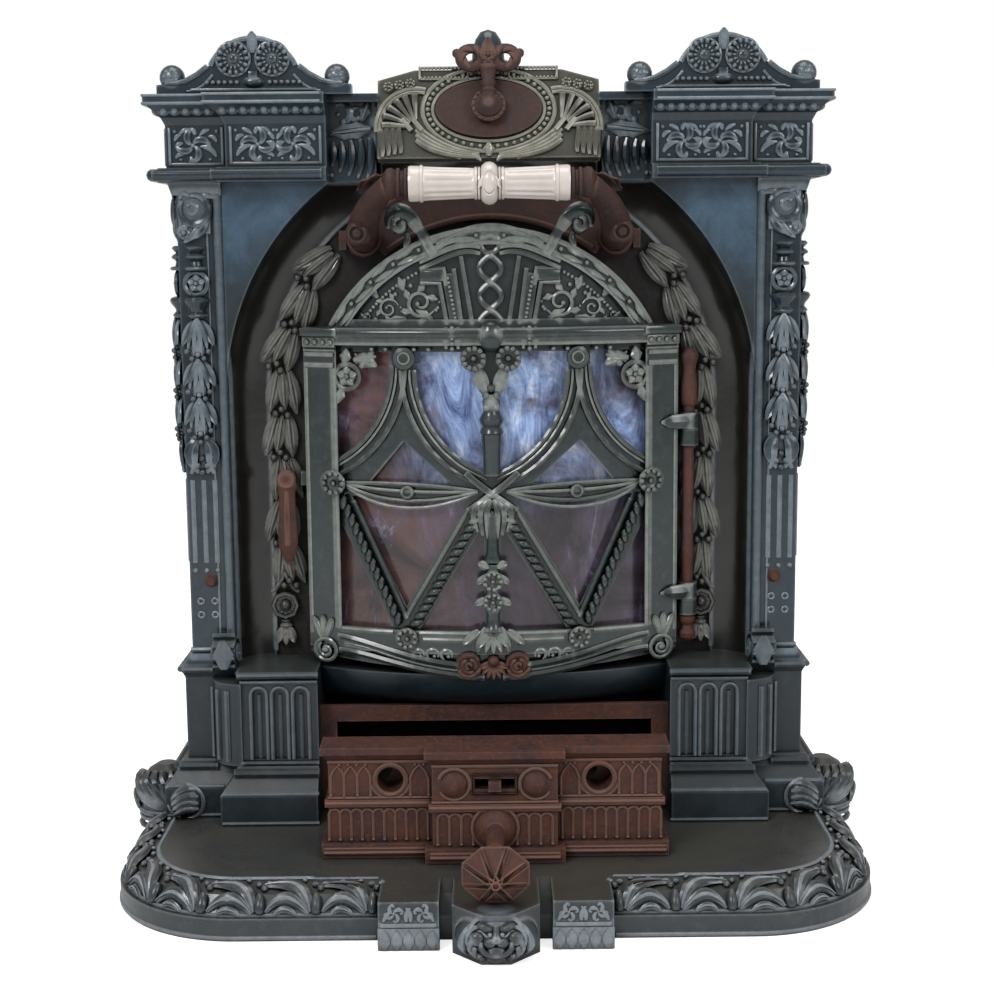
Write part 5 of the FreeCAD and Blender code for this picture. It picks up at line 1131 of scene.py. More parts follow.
def carveTympanum():
    bm = bmesh.new()
    look = tympanumLook
    rim = doorLook["rim"]
    for radius, begin, thick in look["rims"]:
        tube(bm, doorWall, arc(0, rim, radius, begin, 90, 24, doorLook["relief"]), thick)
    for number in range(look["buds"]):    # tied along the rim
        spoke = doorWall @ at(0, rim, doorLook["relief"]) @ turn(-56 + 9.4 * number)
        spot = spoke @ at(0, 148.4, 0) @ turn(90)
        for side in reversed(sides):
            leaf(bm, spot @ at(side * 2.4, -9, 0) @ turn(side * -5), 20, 5.4, 3, 0, 0, 5)
        bead(bm, spot @ at(0, 12, 1), 2)
    for number in range(look["beads"]):
        angle = math.radians(36 + 1.66 * number)
        bead(bm, onDoor(133 * math.cos(angle), rim + 133 * math.sin(angle), 0.6), 1.9)
    ear = onDoor(*look["shoulder"])    # lily scrolls on the shoulders
    tube(bm, ear, bezier(*look["earStem"], 8), look["earStemWidths"], 8, 0.8)
    tube(bm, ear, bezier(*look["earCurl"], 11), look["earCurlWidths"], 10, 0.7)
    bead(bm, ear @ at(8, -2, 2) @ grow(0.9, 1.1, 1), 8, 6, 14)
    curl(bm, ear @ at(8.5, -1, 6.6), 5.4, 100, -300, 2.3)
    comma(bm, ear @ at(2, -8, 3) @ turn(170), 13, 50, 3)
    tube(bm, ear, bezier(*look["earTail"], 12), [3.8] * 12, 6, 0.8)
    for number in range(3):    # ribbons that flow from the eye at the crown
        tube(bm, doorWall, bezier((8, 530 - 5 * number, 5), (26, 536 - 5 * number, 6),
                                  (40, 528 - 7 * number, 6), (58, 518 - 5 * number, 5), 10),
             look["ribbonWidths"])
    for line in look["panelLines"]:
        tube(bm, doorWall, line, 2, 6)
    for x, z, lift, angle, width, height, depth, soft in look["slabs"]:
        slab(bm, onDoor(x, z, lift) @ turn(angle), width, height, depth, soft)
    for start, end, count, radius in look["beadRows"]:
        beadRow(bm, doorWall, start, end, count, radius)
    for x, z, radius, way, begin, leaves in look["scrolls"]:
        foliateScroll(bm, onDoor(x, z, 1), radius, way, begin, leaves)
    for x, z, angle, length in look["leaves"]:
        leaf(bm, onDoor(x, z, 0.5) @ turn(angle), length, 7, 3, 1.5, 2)
    beads(bm, doorWall, look["berries"], 1, 2)
    for x in look["rivets"]:    # rivets under the bar
        bead(bm, onDoor(x, 441.5, 6), 2)
    for x in (37, 27):
        tube(bm, doorWall, [(x, 460, 8), (x, 442, 8)], 1.4)
    for level, thick, half in look["capRolls"]:    # capitals of the side columns
        tube(bm, doorWall, [(146 - half, level, 5), (146 + half, level, 5)], thick)
    bothSides(bm)
    strands = [[(way * 9.2 * math.sin(math.pi * step / 9), 519 - 2.5 * step,
                 3.4 + 0.8 * way * math.cos(math.pi * step / 9)) for step in range(23)] for way in sides]
    for line in strands:
        tube(bm, doorWall, line, 2.7, 8)
    ring(bm, onDoor(0, 528, 3), 7.6, 2.8, 18, 8)
    bead(bm, onDoor(0, 452, 8) @ grow(0.84, 1.1, 1), 12, 7, 16)
    for level, lift, half, thick, sections in look["bars"]:
        tube(bm, doorWall, rail((-half, level, lift), (half, level, lift), 28), thick, sections)
    bow(bm)
    settle(bm, "tympanum_carving", "fire_door", olive)


traceryLook = {
    "hingeLevels": (376, 227), "corner": (146, 180.4, 6), "rose": (21, 173, 7), "cornerAngles": (0, 24, -24),
    "tasselAngles": (140, 160, 180, 200, 220), "shellAngles": (114, 136, 158, 180, 202, 224, 246),
    "flowers": ((14.5, 434, 11, 11, 5), (136, 327, 11, 10, 5), (74, 195, 9.5, 9, 4.5)),
    "ropes": (((129, 314), (80, 207), 14, 30), ((9, 308), (68, 205), 15, 38)), "ropeLift": 3.2,
    "ropeSize": 4.9, "ropeEdges": (((119, 312, 1.4), (74, 212, 1.4), 2.6), ((19, 308, 1), (75, 212, 1), 2)),
    "columnInner": [(133.6, 425, 4), (133.6, 200, 4)], "columnOuter": [(158, 425, 4.4), (158, 194, 4.4)],
    "buttonProfile": [(10, -3), (10, 2), (9, 3.4), (6.4, 3.4), (5, 1.6), (0, 1)],
    "cornerLeaves": ((40, -12, 8, 18), (80, -6, 14, 20), (10, 2, 10, 14), (200, 4, -8, 16),
                     (120, -14, 16, 14)),
    "straps": ((176.7, 428.1, 180, 243), (-29, 423.9, 0, -70)),
    "strapRolls": ((93.4, 2.1), (97.4, 1.1), (104.4, 2.3)),
    "gathers": ((329, 0, 1.8), (324, -3, 1.5), (318, -8, 2), (314, -12, 1.5)),
    "studProfile": [(6, -3), (6, 2), (5, 3), (3.6, 3), (3, 1), (0, 0.6)],
    "footRolls": (((134, 193, 5), (110, 193, 5), (70, 174, 5), (20, 172, 5), 3.4),
                  ((134, 181, 5), (106, 182, 5), (72, 165, 5), (8, 162.5, 6), 3),
                  ((128, 187, 4), (100, 187, 4), (80, 171, 4), (22, 167.5, 5), 1.8)),
    "sillRolls": ((200, 10, 63), (194.5, 16, 60), (200, 86, 131)),
    "footCurls": ((40, 4.6), (52, 5), (64, 4.4)),
    "curlWidths": [1, 1.3, 1.6, 1.8, 1.8, 1.8, 1.8, 1.6, 1.4, 1.2, 1],
    "foldWidths": [2.2, 2.6, 2.8, 2.8, 2.6, 2.4, 2.2, 2, 1.4],
    "staffLeaves": ((6, 206, 160, 22), (12, 203, 130, 18), (3, 250, 120, 12), (3, 258, 70, 10),
                    (4, 230, 110, 12)),
    "grapes": ((0, 409), (-4.5, 403), (4.5, 403), (0, 398), (-4, 393), (4, 393)),
    "staffUpper": [(0, 0), (7, 0), (7.4, 20), (8.6, 34), (10, 36), (9, 39), (7.6, 41), (9.4, 44), (10.4, 47),
                   (8.8, 50), (6.6, 54), (7.6, 62), (6, 68), (0, 69)],
    "staffMiddle": [(0, 0), (6.6, 0), (7.4, 3), (5.4, 8), (4.4, 26), (5.8, 36), (7, 40), (4.6, 44), (0, 45)],
    "staffLower": [(0, 0), (8, 0), (9, 3), (6.4, 6), (5.6, 16), (7, 22), (5.4, 26), (5, 60), (0, 61)],
    "roseCup": [(10, -3), (10, 0), (6, 1.4), (0, 1.6)],
    "rosePetals": ((9.2, 30, 150, 0.8, 2.7), (9.2, 200, 150, 0.8, 2.7), (5.6, 110, 200, 2.4, 2.2),
                   (5.6, 330, 110, 2.4, 2.2), (2.4, 0, 270, 3.6, 1.7)),
    "petalTaper": (0.5, 0.8, 1, 1, 1, 1, 1, 1, 1, 0.8, 0.5),
}


def carveDoor():
    bm = bmesh.new()
    look = traceryLook
    tube(bm, doorWall, look["columnInner"], 2.4)    # column edges
    tube(bm, doorWall, look["columnOuter"], 1.8)
    turned(bm, onDoor(73, 434, 4), look["buttonProfile"], 20)
    ring(bm, onDoor(73, 434, 5.4), 5.2, 1.2, 16)
    spot = onDoor(122, 418, 3)
    ring(bm, spot, 10.6, 2.2, 20)
    rosette(bm, spot @ at(0, 0, -1), 9, 5, 5)
    for angle, dx, dy, length in look["cornerLeaves"]:
        leaf(bm, spot @ at(dx, dy, -1) @ turn(angle), length, 9, 3.4, 2, 2)
    foliateScroll(bm, onDoor(108, 434, 1), 6, 1, 200, 3)
    for cx, cz, begin, end in look["straps"]:    # draped straps
        for reach, thick in look["strapRolls"]:
            strap = arc(cx, cz, reach, begin, end, 28)
            tube(bm, doorWall, [(x, z, 1.6 + 0.5 * math.sin(0.5 * z)) for x, z, flat in strap], thick)
    for level, sag, thick in look["gathers"]:    # gathered cloth along the tie
        line = bezier((128, 327, 2), (100, level + sag, 3), (50, level + sag, 3), (12, 322, 2), 14)
        tube(bm, doorWall, line, thick)
    turned(bm, onDoor(72, 321, 3), look["studProfile"], 14)
    for x, z, radius, count, lift in look["flowers"]:
        flower(bm, onDoor(x, z, 5), radius, count, lift)
    for start, end, count, skew in look["ropes"]:
        rope(bm, start, end, count, look["ropeLift"], look["ropeSize"], skew)
    for start, end, thick in look["ropeEdges"]:
        tube(bm, doorWall, rail(start, end), thick, 8)
    for start, first, second, end, thick in look["footRolls"]:
        tube(bm, doorWall, bezier(start, first, second, end, 18), thick)
    for level, near, far in look["sillRolls"]:
        tube(bm, doorWall, rail((near, level, 4.4), (far, level, 4.4)), 2)
    for x, reach in look["footCurls"]:
        tube(bm, onDoor(x, 181, 4.4), arc(0, 0, reach, -60, 200, 10, 0), look["curlWidths"])
        bead(bm, onDoor(x - 1.5, 180, 4.4), 1.8)
    corner = onDoor(*look["corner"])
    ring(bm, corner, 9.6, 1.8, 20)
    volute(bm, corner, 7.2, 1.2, 60, -1, 2.2)
    bead(bm, corner, 3.4, 4)
    fan(bm, corner @ at(2, 8, -2), look["cornerAngles"], 22, 9, 4, 2, 1)
    bothSides(bm)
    for side in sides:    # the staff between the straps
        leaf(bm, onDoor(side * 12, 428, 4) @ turn(180 - side * 18), 28, 12, 5, 1, 0)
        for number in range(3):
            x = side * (4 + 5 * number)
            tube(bm, doorWall, bezier((x * 0.3, 316, 7), (x * 1.4, 310, 9), (x * 1.2, 300, 6),
                                      (x * 0.9, 282 + 3 * number, 3), 9), look["foldWidths"])
        tube(bm, doorWall, bezier((side * 22, 338, 3), (side * 12, 328, 6), (-side * 4, 318, 9),
                                  (-side * 20, 306, 4), 12), 3, 6, 0.7)
        for x, z, angle, length in look["staffLeaves"]:
            leaf(bm, onDoor(side * x, z, 5) @ turn(-side * angle), length, 9, 4, 2, 1)
    beads(bm, doorWall, look["grapes"], 7, 3.6)
    stem = doorWall @ at(0, 0, 3) @ turn(-90, "X")
    turned(bm, stem @ at(0, 0, 336), look["staffUpper"], 12)
    turned(bm, stem @ at(0, 0, 262), look["staffMiddle"], 12)
    for level, radius in ((246, 9), (228, 8.4)):
        flower(bm, onDoor(0, level, 6), radius, 9, 5)
    turned(bm, stem @ at(0, 0, 200), look["staffLower"], 12)
    for level in look["hingeLevels"]:    # tongues of the hinge
        tube(bm, doorWall, [(172, level, 9), (161, level, 8), (152, level, 7), (145, level, 6)],
             [6.8, 6.8, 5.4, 1], 6, 0.6)
        tube(bm, doorWall, [(173, level + 5.6, 9.6), (154, level + 5, 8)], [1.4, 1.1], 6)
    fan(bm, onDoor(0, 204, 6), look["tasselAngles"], 20, 8, 4, 3, 0)
    bow(bm)
    settle(bm, "door_carving", "fire_door", olive)
    bm = bmesh.new()    # rusted roses and shell at the foot of the door
    for side in sides:
        x, z, lift = look["rose"]
        spot = onDoor(side * x, z, lift)
        turned(bm, spot, look["roseCup"], 16)
        for radius, begin, sweep, lift, thick in look["rosePetals"]:
            line = arc(0, 0, radius, begin, begin + sweep, 10, lift)
            tube(bm, spot, line, [thick * share for share in look["petalTaper"]], 8)
    fan(bm, onDoor(0, 176, 5), look["shellAngles"], 15, 6, 4, 2, 0)
    bead(bm, onDoor(0, 177, 8), 5, 5, 12)
    bow(bm)
    settle(bm, "door_roses", "fire_door", rust)


hingeLook = {
    "place": (170, 28), "foot": 182,
    "profile": [(0, 0), (4, 0), (7.4, 3), (8, 7), (5.6, 11), (4.6, 13.5), (6.4, 16), (7.6, 18), (7.6, 21),
                (6, 23), (5, 23.4), (5, 74), (5.8, 76), (5.8, 84), (5, 86), (5, 206), (6.6, 208), (7.4, 212),
                (7.4, 226), (6.6, 229), (5.8, 236), (6.6, 244), (8, 247), (8, 251), (6, 254), (4.6, 256),
                (0, 258)],
}


def forgeHinge():
    bm = bmesh.new()
    x, y = hingeLook["place"]
    turned(bm, at(x, y, hingeLook["foot"]), hingeLook["profile"], 18)
    piece = settle(bm, "turned_hinge_rod", "stove_body", rust)
    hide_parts("hinge_rod")


latchLook = {
    "place": (-178, 24), "head": 328, "shifts": (8, 4, -5, -14, -30, -46, -56, -62, -68, -76),
    "widths": [3, 7.4, 8.4, 7.2, 7.6, 8.4, 9, 7.6, 5.6, 1.6],
    "eyeProfile": [(0, 0), (8, 0), (8, 6), (6.6, 7.6), (4.6, 8), (4, 6.6), (0, 6.4)],
}


def forgeLatch():
    bm = bmesh.new()
    wall = onWall(*latchLook["place"], 0)
    head = latchLook["head"]
    line = [(0, head + shift, -3) for shift in latchLook["shifts"]]
    tube(bm, wall, line, latchLook["widths"], 10, 0.5)
    tube(bm, wall, [(0, head - 10, 0), (0, head - 34, 0.8), (0, head - 58, 0)], [2, 2.8, 2.2], 6)
    turned(bm, wall @ at(0, head, -6), latchLook["eyeProfile"], 18)
    piece = settle(bm, "shaped_latch", "latch", rust)
    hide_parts("latch_lever")


carvePilasters()
carveLaurel()
carveTympanum()
carveDoor()
forgeHinge()
forgeLatch()
print("fire mouth and door carved")


# Ash drawer and its knob

drawerLook = {
    "face": -110, "middle": -124, "hole": 102,
    "point": ((-0.5, -0.5), (-0.34, -0.1), (0, 0.3), (0.34, -0.1), (0.5, -0.5)),
    # arches: start, end, foot, head, count, pointed
    "faceArches": ((53, 68, 88, 110, 1, True), (100, 132, 88, 110, 3, True), (54, 134, 51, 77, 9, False)),
    "middleArches": ((8, 46, 51, 77, 4, False),), "studs": (57, 64, 104, 111, 118, 125),
    "upperRolls": ((117, 0.4, 1.5), (87, 0.6, 1.4), (83, 2.6, 2)),
    "lowerRolls": ((46, 5, 1.5), (43, 6.4, 1.8)),
}


def archRow(bm, wall, start, end, foot, head, count, pointed):
    # row of small arches between upright reeds
    pitch = (end - start) / count
    for number in range(count + 1):
        x = start + number * pitch
        tube(bm, wall, [(x, foot, 0), (x, head - pitch * 0.4, 0)], 1.3)
        bead(bm, wall @ at(x, foot + 1, 0.6), 1.7)
    for number in range(count):
        x = start + (number + 0.5) * pitch
        if pointed:
            line = [(x + pitch * dx, head + pitch * dy, 0.2) for dx, dy in drawerLook["point"]]
        else:
            line = arc(x, head - pitch * 0.45, pitch / 2, 180, 0, 6, 0.2)
        tube(bm, wall, line, 1.2)


def carveDrawer():
    bm = bmesh.new()
    look = drawerLook
    face = onWall(0, look["face"], 0)
    middle = onWall(0, look["middle"], 0)
    for wall, arches in ((face, look["faceArches"]), (middle, look["middleArches"])):
        for arch in arches:
            archRow(bm, wall, *arch)
    ring(bm, face @ at(84, look["hole"], 0.4), 12.6, 2.2, 22)
    tube(bm, face, arc(84, look["hole"], 16, 195, 345, 12, 0.2), 1.4)
    leaf(bm, face @ at(84, 88, 0) @ turn(90) @ at(0, -6, 0), 12, 5, 2, 0, 0)
    for x in look["studs"]:
        bead(bm, face @ at(x, 114.6, 0.4), 1.6)
    dome = middle @ at(32.6, look["hole"], -1)
    bead(bm, dome, 11, 6.5, 16)
    tube(bm, dome, arc(0, 0, 12.8, 20, 200, 14, 1.4), 1.7)
    tube(bm, dome, arc(0, 0, 12.8, 200, 330, 10, 1.4), 1.2)
    framing(bm, middle @ at(0, look["hole"], 0), 37.6, 18, 1.8, 1.8)    # clears the shutter tab at both ends
    for level, reach, thick in look["upperRolls"]:
        tube(bm, middle, [(0, level, reach), (50 + reach, level, reach)], thick)
        tube(bm, face, [(50, level, reach), (134 + reach, level, reach)], thick)
    for level, reach, thick in look["lowerRolls"]:
        tube(bm, middle, [(0, level, reach), (52, level, reach)], thick)
        tube(bm, face, [(56, level, reach), (138, level, reach)], thick)
    bothSides(bm)
    settle(bm, "drawer_arcade", "ash_drawer", rust)


knobLook = {
    "back": -196, "level": 63, "radius": 26,
    "stemProfile": [(0, 0), (8, 0), (9.6, 3), (8, 6), (7.4, 10), (9, 13), (12, 15), (12, 18), (0, 19)],
}


def forgeKnob():
    bm = bmesh.new()
    look = knobLook
    spot = onWall(0, look["back"], look["level"]) @ grow(1.05, 0.88, 1)
    facets, reach = 8, look["radius"]

    def facet(form):
        # eight-sided pyramid whose facets carry raised petals
        bmesh.ops.create_cone(form, cap_ends=True, segments=facets, radius1=reach, radius2=2, depth=24,
                              matrix=at(0, 0, 32))
        foot = bmesh.ops.create_cone(form, cap_ends=True, segments=facets, radius1=10, radius2=reach,
                                     depth=18, matrix=at(0, 0, 9))["verts"]
        bmesh.ops.translate(form, vec=(0, 0, 2), verts=[vert for vert in foot if vert.co.z > 17])
        slopes = [face for face in form.faces if len(face.verts) == 4 and face.calc_center_median().z > 24]
        bmesh.ops.inset_individual(form, faces=slopes, thickness=1.8, depth=0)
        bmesh.ops.inset_individual(form, faces=slopes, thickness=1.2, depth=1.9)
        bmesh.ops.inset_individual(form, faces=slopes, thickness=2.2, depth=-1.1)
    stamp(bm, pattern("facet", facet), spot @ turn(180 / facets))
    turned(bm, spot @ at(0, 0, -18), look["stemProfile"], 16)
    piece = settle(bm, "faceted_knob", "ash_drawer", rust, 20)
    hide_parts("drawer_knob")
    boss = bmesh.new()    # round boss where the stem leaves the drawer
    bead(boss, onWall(0, drawerLook["middle"], look["level"] + 3), 17, 12, 18)
    ring(boss, onWall(0, drawerLook["middle"] - 1, look["level"] + 3), 18, 2, 22)
    settle(boss, "stem_boss", "ash_drawer", rust)


# Plinth

plinthLook = {
    "flutes": (165.5, 183.5, 201.5), "front": -18, "foot": 91, "head": 153,
    "frontRolls": ((81, 8, 4), (88, 2.4, 2), (159.5, 2, 1.6), (165.5, 4, 2.6), (65, 17, 2), (39.5, 18, 1.6)),
    "cornerRolls": ((81, 8, 4), (165.5, 4, 2.6), (65, 17, 2), (39.5, 18, 1.6)),
    "drumReed": [(0, 0, 90), (0, 0, 152)], "consoleRolls": ((196, 0), (188, -7), (178, -8), (170, -4)),
}


def carvePlinth():
    bm = bmesh.new()
    look = plinthLook
    wall = onWall(0, look["front"], 0)
    for x in look["flutes"]:
        spring = look["head"] - 5.5
        line = [(x - 7, look["foot"], 0.4)] + arc(x, spring, 7, 180, 0, 8, 0.4) + [(x + 7, look["foot"], 0.4)]
        tube(bm, wall, line, 1.7, 8)
        tube(bm, wall, [(x, look["foot"], -3.6), (x, spring, -3.6)], 2, 6)
    for level, reach, thick in look["frontRolls"]:
        front = look["front"] - reach
        tube(bm, onWall(0, front, 0), [(153 - min(reach, 3), level, 0), (215 + reach, level, 0)], thick, 8)
    for level, reach, thick in look["cornerRolls"]:
        tube(bm, onWall(0, 6 - reach, 0), [(246 - 0.7 * reach, level, 0), (266 + reach, level, 0)], thick, 8)
        tube(bm, onWall(268 + reach, 0, 0, 90), [(8 - reach, level, 0), (232, level, 0)], thick, 8)
    for angle in (200, 222, 244):    # reeds on the quarter drums
        x, y = 216 - 28.5 * math.cos(math.radians(angle)), 6 + 28.5 * math.sin(math.radians(angle))
        tube(bm, at(x, y, 0), look["drumReed"], 2.4, 6)
    slab(bm, at(267, 34, 62), 10, 54, 15, 1)    # root of the scroll end under the torus
    scroll = onWall(242, 6, 181, 90)    # side faces of the scroll consoles
    volute(bm, scroll, 12, 1.6, 100, -1, 2)
    volute(bm, onWall(222.5, 6, 181, -90), 12, 1.6, 80, 1, 2)
    for level, y in look["consoleRolls"]:
        tube(bm, at(), [(223, y, level), (242, y, level)], 2, 6)
    leaf(bm, at(232, -7.5, 168) @ turn(90, "X"), 26, 16, 4, 3, 2)
    bothSides(bm)
    settle(bm, "plinth_mouldings", "stove_body", stepGlaze)


# Hearth border

hearthLook = {
    "corner": (199, -79), "radius": 110, "bendRadius": 95, "start": 92, "sideLength": 92, "unit": 43,
    "steep": 16.6, "pathHalf": 143, "pathTop": 37.8, "pod": (292.5, 34), "podRadius": 24,
    "rolledLeaf": (268, -12, 52), "roll": (14, 8), "block": (66, -208, 19),
    "leafLines": (((0.16, 3, 1), (0.22, 20, 4), (0.5, 28, 4), (1.0, 25, 1)),
                  ((0.2, 1.5, 1), (0.44, 15, 4), (0.72, 17, 4), (0.96, 3, 1)),
                  ((0.42, 0.6, 1), (0.55, 6, 3), (0.7, 6, 3), (0.8, 0.6, 1))),
    "leafWidths": ([2.4, 4, 5.2, 6, 6.4, 6.4, 6, 5.4, 4.4, 3.2, 1.8],
                   [2, 3.2, 4.2, 4.8, 5, 4.8, 4.4, 3.6, 2.8, 1.6], [1.6, 2.8, 3.4, 3.6, 3.2, 2.6, 1.4]),
    "budLevels": (1, 3, 8, 13, 15.5), "budWidths": [2.4, 3.9, 4.2, 3.8, 2],
    "berries": ((0.0, 22, 3), (0.1, 26, 2.6), (-0.08, 27, 2.6), (0.3, 31, 2.2), (0.62, 31, 2.2)),
    "ribWidths": [1.2, 2, 2.9, 3.7, 4.4, 4.9, 5, 4.4, 3], "footRolls": ((33, 3), (27, 2), (20, 2.6)),
    "podLeaves": ((70, 34, -30, -80), (100, 30, -20, -80), (130, 30, -10, -70), (-60, 22, 20, 70)),
    "foldWidths": [1.2, 2.4, 3.2, 3.5, 3.4, 3, 2.2, 1.2],
}


def borderSpot(along, inset, level):
    # a place on the border: distance from the middle blocks, distance in from the edge, height
    look = hearthLook
    cx, cy = look["corner"]
    radius = look["radius"] - inset
    straight, bend = cx - look["start"], math.radians(90) * look["bendRadius"]
    if along < straight:
        return Vector((look["start"] + along, cy - radius, level))
    if along < straight + bend:
        angle = (along - straight) / look["bendRadius"] - math.pi / 2
        return Vector((cx + radius * math.cos(angle), cy + radius * math.sin(angle), level))
    return Vector((cx + radius, cy + along - straight - bend, level))


def wrapBorder(bm):
    # flat work, x along the border, y up its slopes and z out of them, is laid over the rim
    look = hearthLook
    for vert in bm.verts:
        along, up, out = vert.co
        crown = look["steep"]
        if up < crown:
            inset, level = 5 + 9 * up / crown, 18 + 14 * up / crown
        else:
            inset, level = 14 + 18 * (up - crown) / 19, 32 + 6 * (up - crown) / 19
        lean = math.radians(33 + 39 * min(1, max(0, (up - crown + 6) / 12)))
        place = borderSpot(along, inset - out * math.cos(lean), level + out * math.sin(lean))
        if place.x < look["pathHalf"]:
            place.z = min(place.z, look["pathTop"])
        vert.co = place


def borderUnit(bm, x, pitch):
    # bud, rolled leaves that sweep over it, and berries at the upper edge
    look = hearthLook
    spot = at(x, 0, 0)
    tube(bm, spot, [(pitch * 0.06, level, 2.4) for level in look["budLevels"]], look["budWidths"], 10)
    for corners, widths in zip(look["leafLines"], look["leafWidths"]):
        line = bezier(*((pitch * x, y, lift) for x, y, lift in corners), len(widths))
        tube(bm, spot, line, widths, 8, 0.55)
        tube(bm, spot @ at(0, 0, 2.2), line, [width * 0.22 for width in widths], 5)
    for dx, dy, radius in look["berries"]:
        bead(bm, spot @ at(pitch * dx, dy, 1.4), radius)


def podSpot(angle, level, out=0.0):
    # tangent place on the round scroll end; angle 0 faces the front, 90 outwards
    x, y = hearthLook["pod"]
    return at(x, y, 0) @ turn(angle) @ at(0, -hearthLook["podRadius"] - out, level) @ turn(90, "X")


def podLine(begin, end, steps=8):
    # rib over the round scroll end, from (angle, level) to (angle, level)
    x, y = hearthLook["pod"]
    line = []
    for step in range(steps + 1):
        share = step / steps
        angle = math.radians(begin[0] + (end[0] - begin[0]) * math.sin(share * math.pi / 2))
        level = begin[1] + (end[1] - begin[1]) * share
        dome = 1 if level < 58 else math.sqrt(max(0.1, 1 - ((level - 58) / 19) ** 2))
        reach = hearthLook["podRadius"] * dome
        line.append((x + reach * math.sin(angle), y - reach * math.cos(angle), level))
    return line


def overDome(line, reach, swell):
    # lays a flat line over a dome
    return [(x, y, swell * math.sqrt(max(0.04, 1 - (x * x + y * y) / reach ** 2))) for x, y, flat in line]


def carvePod(bm):
    # shell with a rolled foot
    look = hearthLook
    for number in range(11):
        line = podLine((-20, 33), (-105 + 21 * number, 70 - 0.22 * abs(number - 5) ** 2))
        tube(bm, at(), line, look["ribWidths"], 8)
    for level, thick in look["footRolls"]:
        tube(bm, at(), [podLine((-100 + 20 * step, level), (0, level), 1)[0] for step in range(13)], thick, 8)
    for angle, level, lean, bend in look["podLeaves"]:
        comma(bm, podSpot(angle, level, 1) @ turn(lean), 26, bend, 4.2)
    bead(bm, podSpot(-20, 33, 2), 5.4, 4.4, 12)
    inner = onWall(*look["rolledLeaf"])    # on the corner of the plinth step
    reach, swell = look["roll"]
    bead(bm, inner, reach, swell, 18)
    for shift in (-10, -4.5, 1, 6.5):
        line = bezier((-11, shift + 4), (-4, shift + 8), (4, shift + 5), (11.5, shift - 3), 8)
        tube(bm, inner, overDome(line, reach, swell), look["foldWidths"], 8)
    tube(bm, inner, arc(0, 0, 15.4, 95, 265, 12, 1.4), 2)
    tube(bm, inner, arc(0, 0, 15.4, 290, 350, 6, 1), 1.4)


def carveHearth():
    bm = bmesh.new()
    look = hearthLook
    length = look["corner"][0] - look["start"] + math.radians(90) * look["bendRadius"] + look["sideLength"]
    count = round(length / look["unit"])
    for number in range(count):
        borderUnit(bm, number * length / count, length / count)
    rollSteps = 60
    for up, thick in ((35, 2), (0.6, 1.8)):
        tube(bm, at(), [(length * step / rollSteps, up, 0) for step in range(rollSteps + 1)], thick)
    wrapBorder(bm)
    tube(bm, at(), [borderSpot(length * step / rollSteps, 0.4, 2.4) for step in range(rollSteps + 1)], 1.8)
    carvePod(bm)
    block = at(*look["block"]) @ turn(90, "X")    # carved blocks beside the mask
    slab(bm, block @ at(0, -10, -2), 47, 18, 4, 1.2)
    slab(bm, block @ at(0, 1, -4), 43, 4, 5.4, 1.2)
    for number in range(5):
        leaf(bm, block @ at(9 * (number - 2), -18.4, 1.4), 16, 8.4, 2.6, 1, 0, 5)
    for side in sides:
        whirl(bm, block @ at(side * 11, 10.4, 0) @ grow(side, 1, 1), 7, 4, 10)
        comma(bm, block @ at(side * 1.5, 4, 0) @ turn(-side * 10), 12, side * 60, 2)
        comma(bm, block @ at(side * 19, 4, 0) @ turn(side * 20), 12, side * 40, 1.6)
    bothSides(bm)
    settle(bm, "hearth_leaves", "stove_body", hearthGlaze)


# Lion mask at the front of the hearth

maskLook = {
    "front": -233, "level": 19, "half": (31, 18.6), "deep": 22, "back": -12,
    "sideLumps": ((4.4, 7.6, 2.2, 1, 1, 2, 2.2, 10), (14, 3.6, 0.2, 1, 1, 5.6, 3.8, 14),
                  (4.6, 2.2, 1.4, 1.1, 0.85, 4.4, 4, 14)),
    "middleLumps": ((0, 4.4, 4, 1.4, 0.75, 3.2, 2.4, 12), (0, -4.2, 0.4, 1.3, 0.8, 4.8, 3, 12),
                    (0, -12.4, 0.4, 1.3, 0.75, 5, 4.2, 12)),
    "mane": (((9, 15), (16, 16), (20, 10), (19, 2)), ((13, 11), (20, 10), (23, 3), (20, -5)),
             ((15, 5), (20, 1), (21, -6), (16, -12)), ((15, -2), (18, -6), (16, -12), (10, -15.5)),
             ((20, 10), (25, 5), (26, -3), (23, -10)), ((12, -8), (13, -11), (10, -15), (5, -16.6)),
             ((24, 2), (27, -3), (26, -9), (20, -14))),
    "eyelid": ((2.4, 6), (5, 5), (8, 6), (10, 9)), "lip": ((0, -8.4), (6.4, -8.6), (12, -5.4), (11, 2.4)),
    "lipWidths": [2.3, 2.4, 2.5, 2.6, 2.6, 2.5, 2.4, 2.2, 1.9, 1.3],
    "strandTaper": (0.6, 0.9, 1, 1, 1, 0.95, 0.85, 0.65, 0.3),
    "bossRim": ((27, -9), (29, 4), (20, 16.4), (0, 16.6)), "noseLine": [(0, 13), (0, 10), (0, 7), (0, 4.8)],
}


def onMask(x, y, lift=0.0):
    # a place on the rounded boss that carries the face
    width, height = maskLook["half"]
    swell = math.sqrt(max(0.03, 1 - (x / width) ** 2 - (y / height) ** 2))
    return Vector((x, y, maskLook["back"] + maskLook["deep"] * swell + lift))


def overMask(line, lift):
    return [onMask(point[0], point[1], lift) for point in line]


def lumps(bm, wall, rows):
    for x, y, lift, wide, tall, radius, height, across in rows:
        bead(bm, wall @ at(*onMask(x, y, lift)) @ grow(wide, tall, 1), radius, height, across)


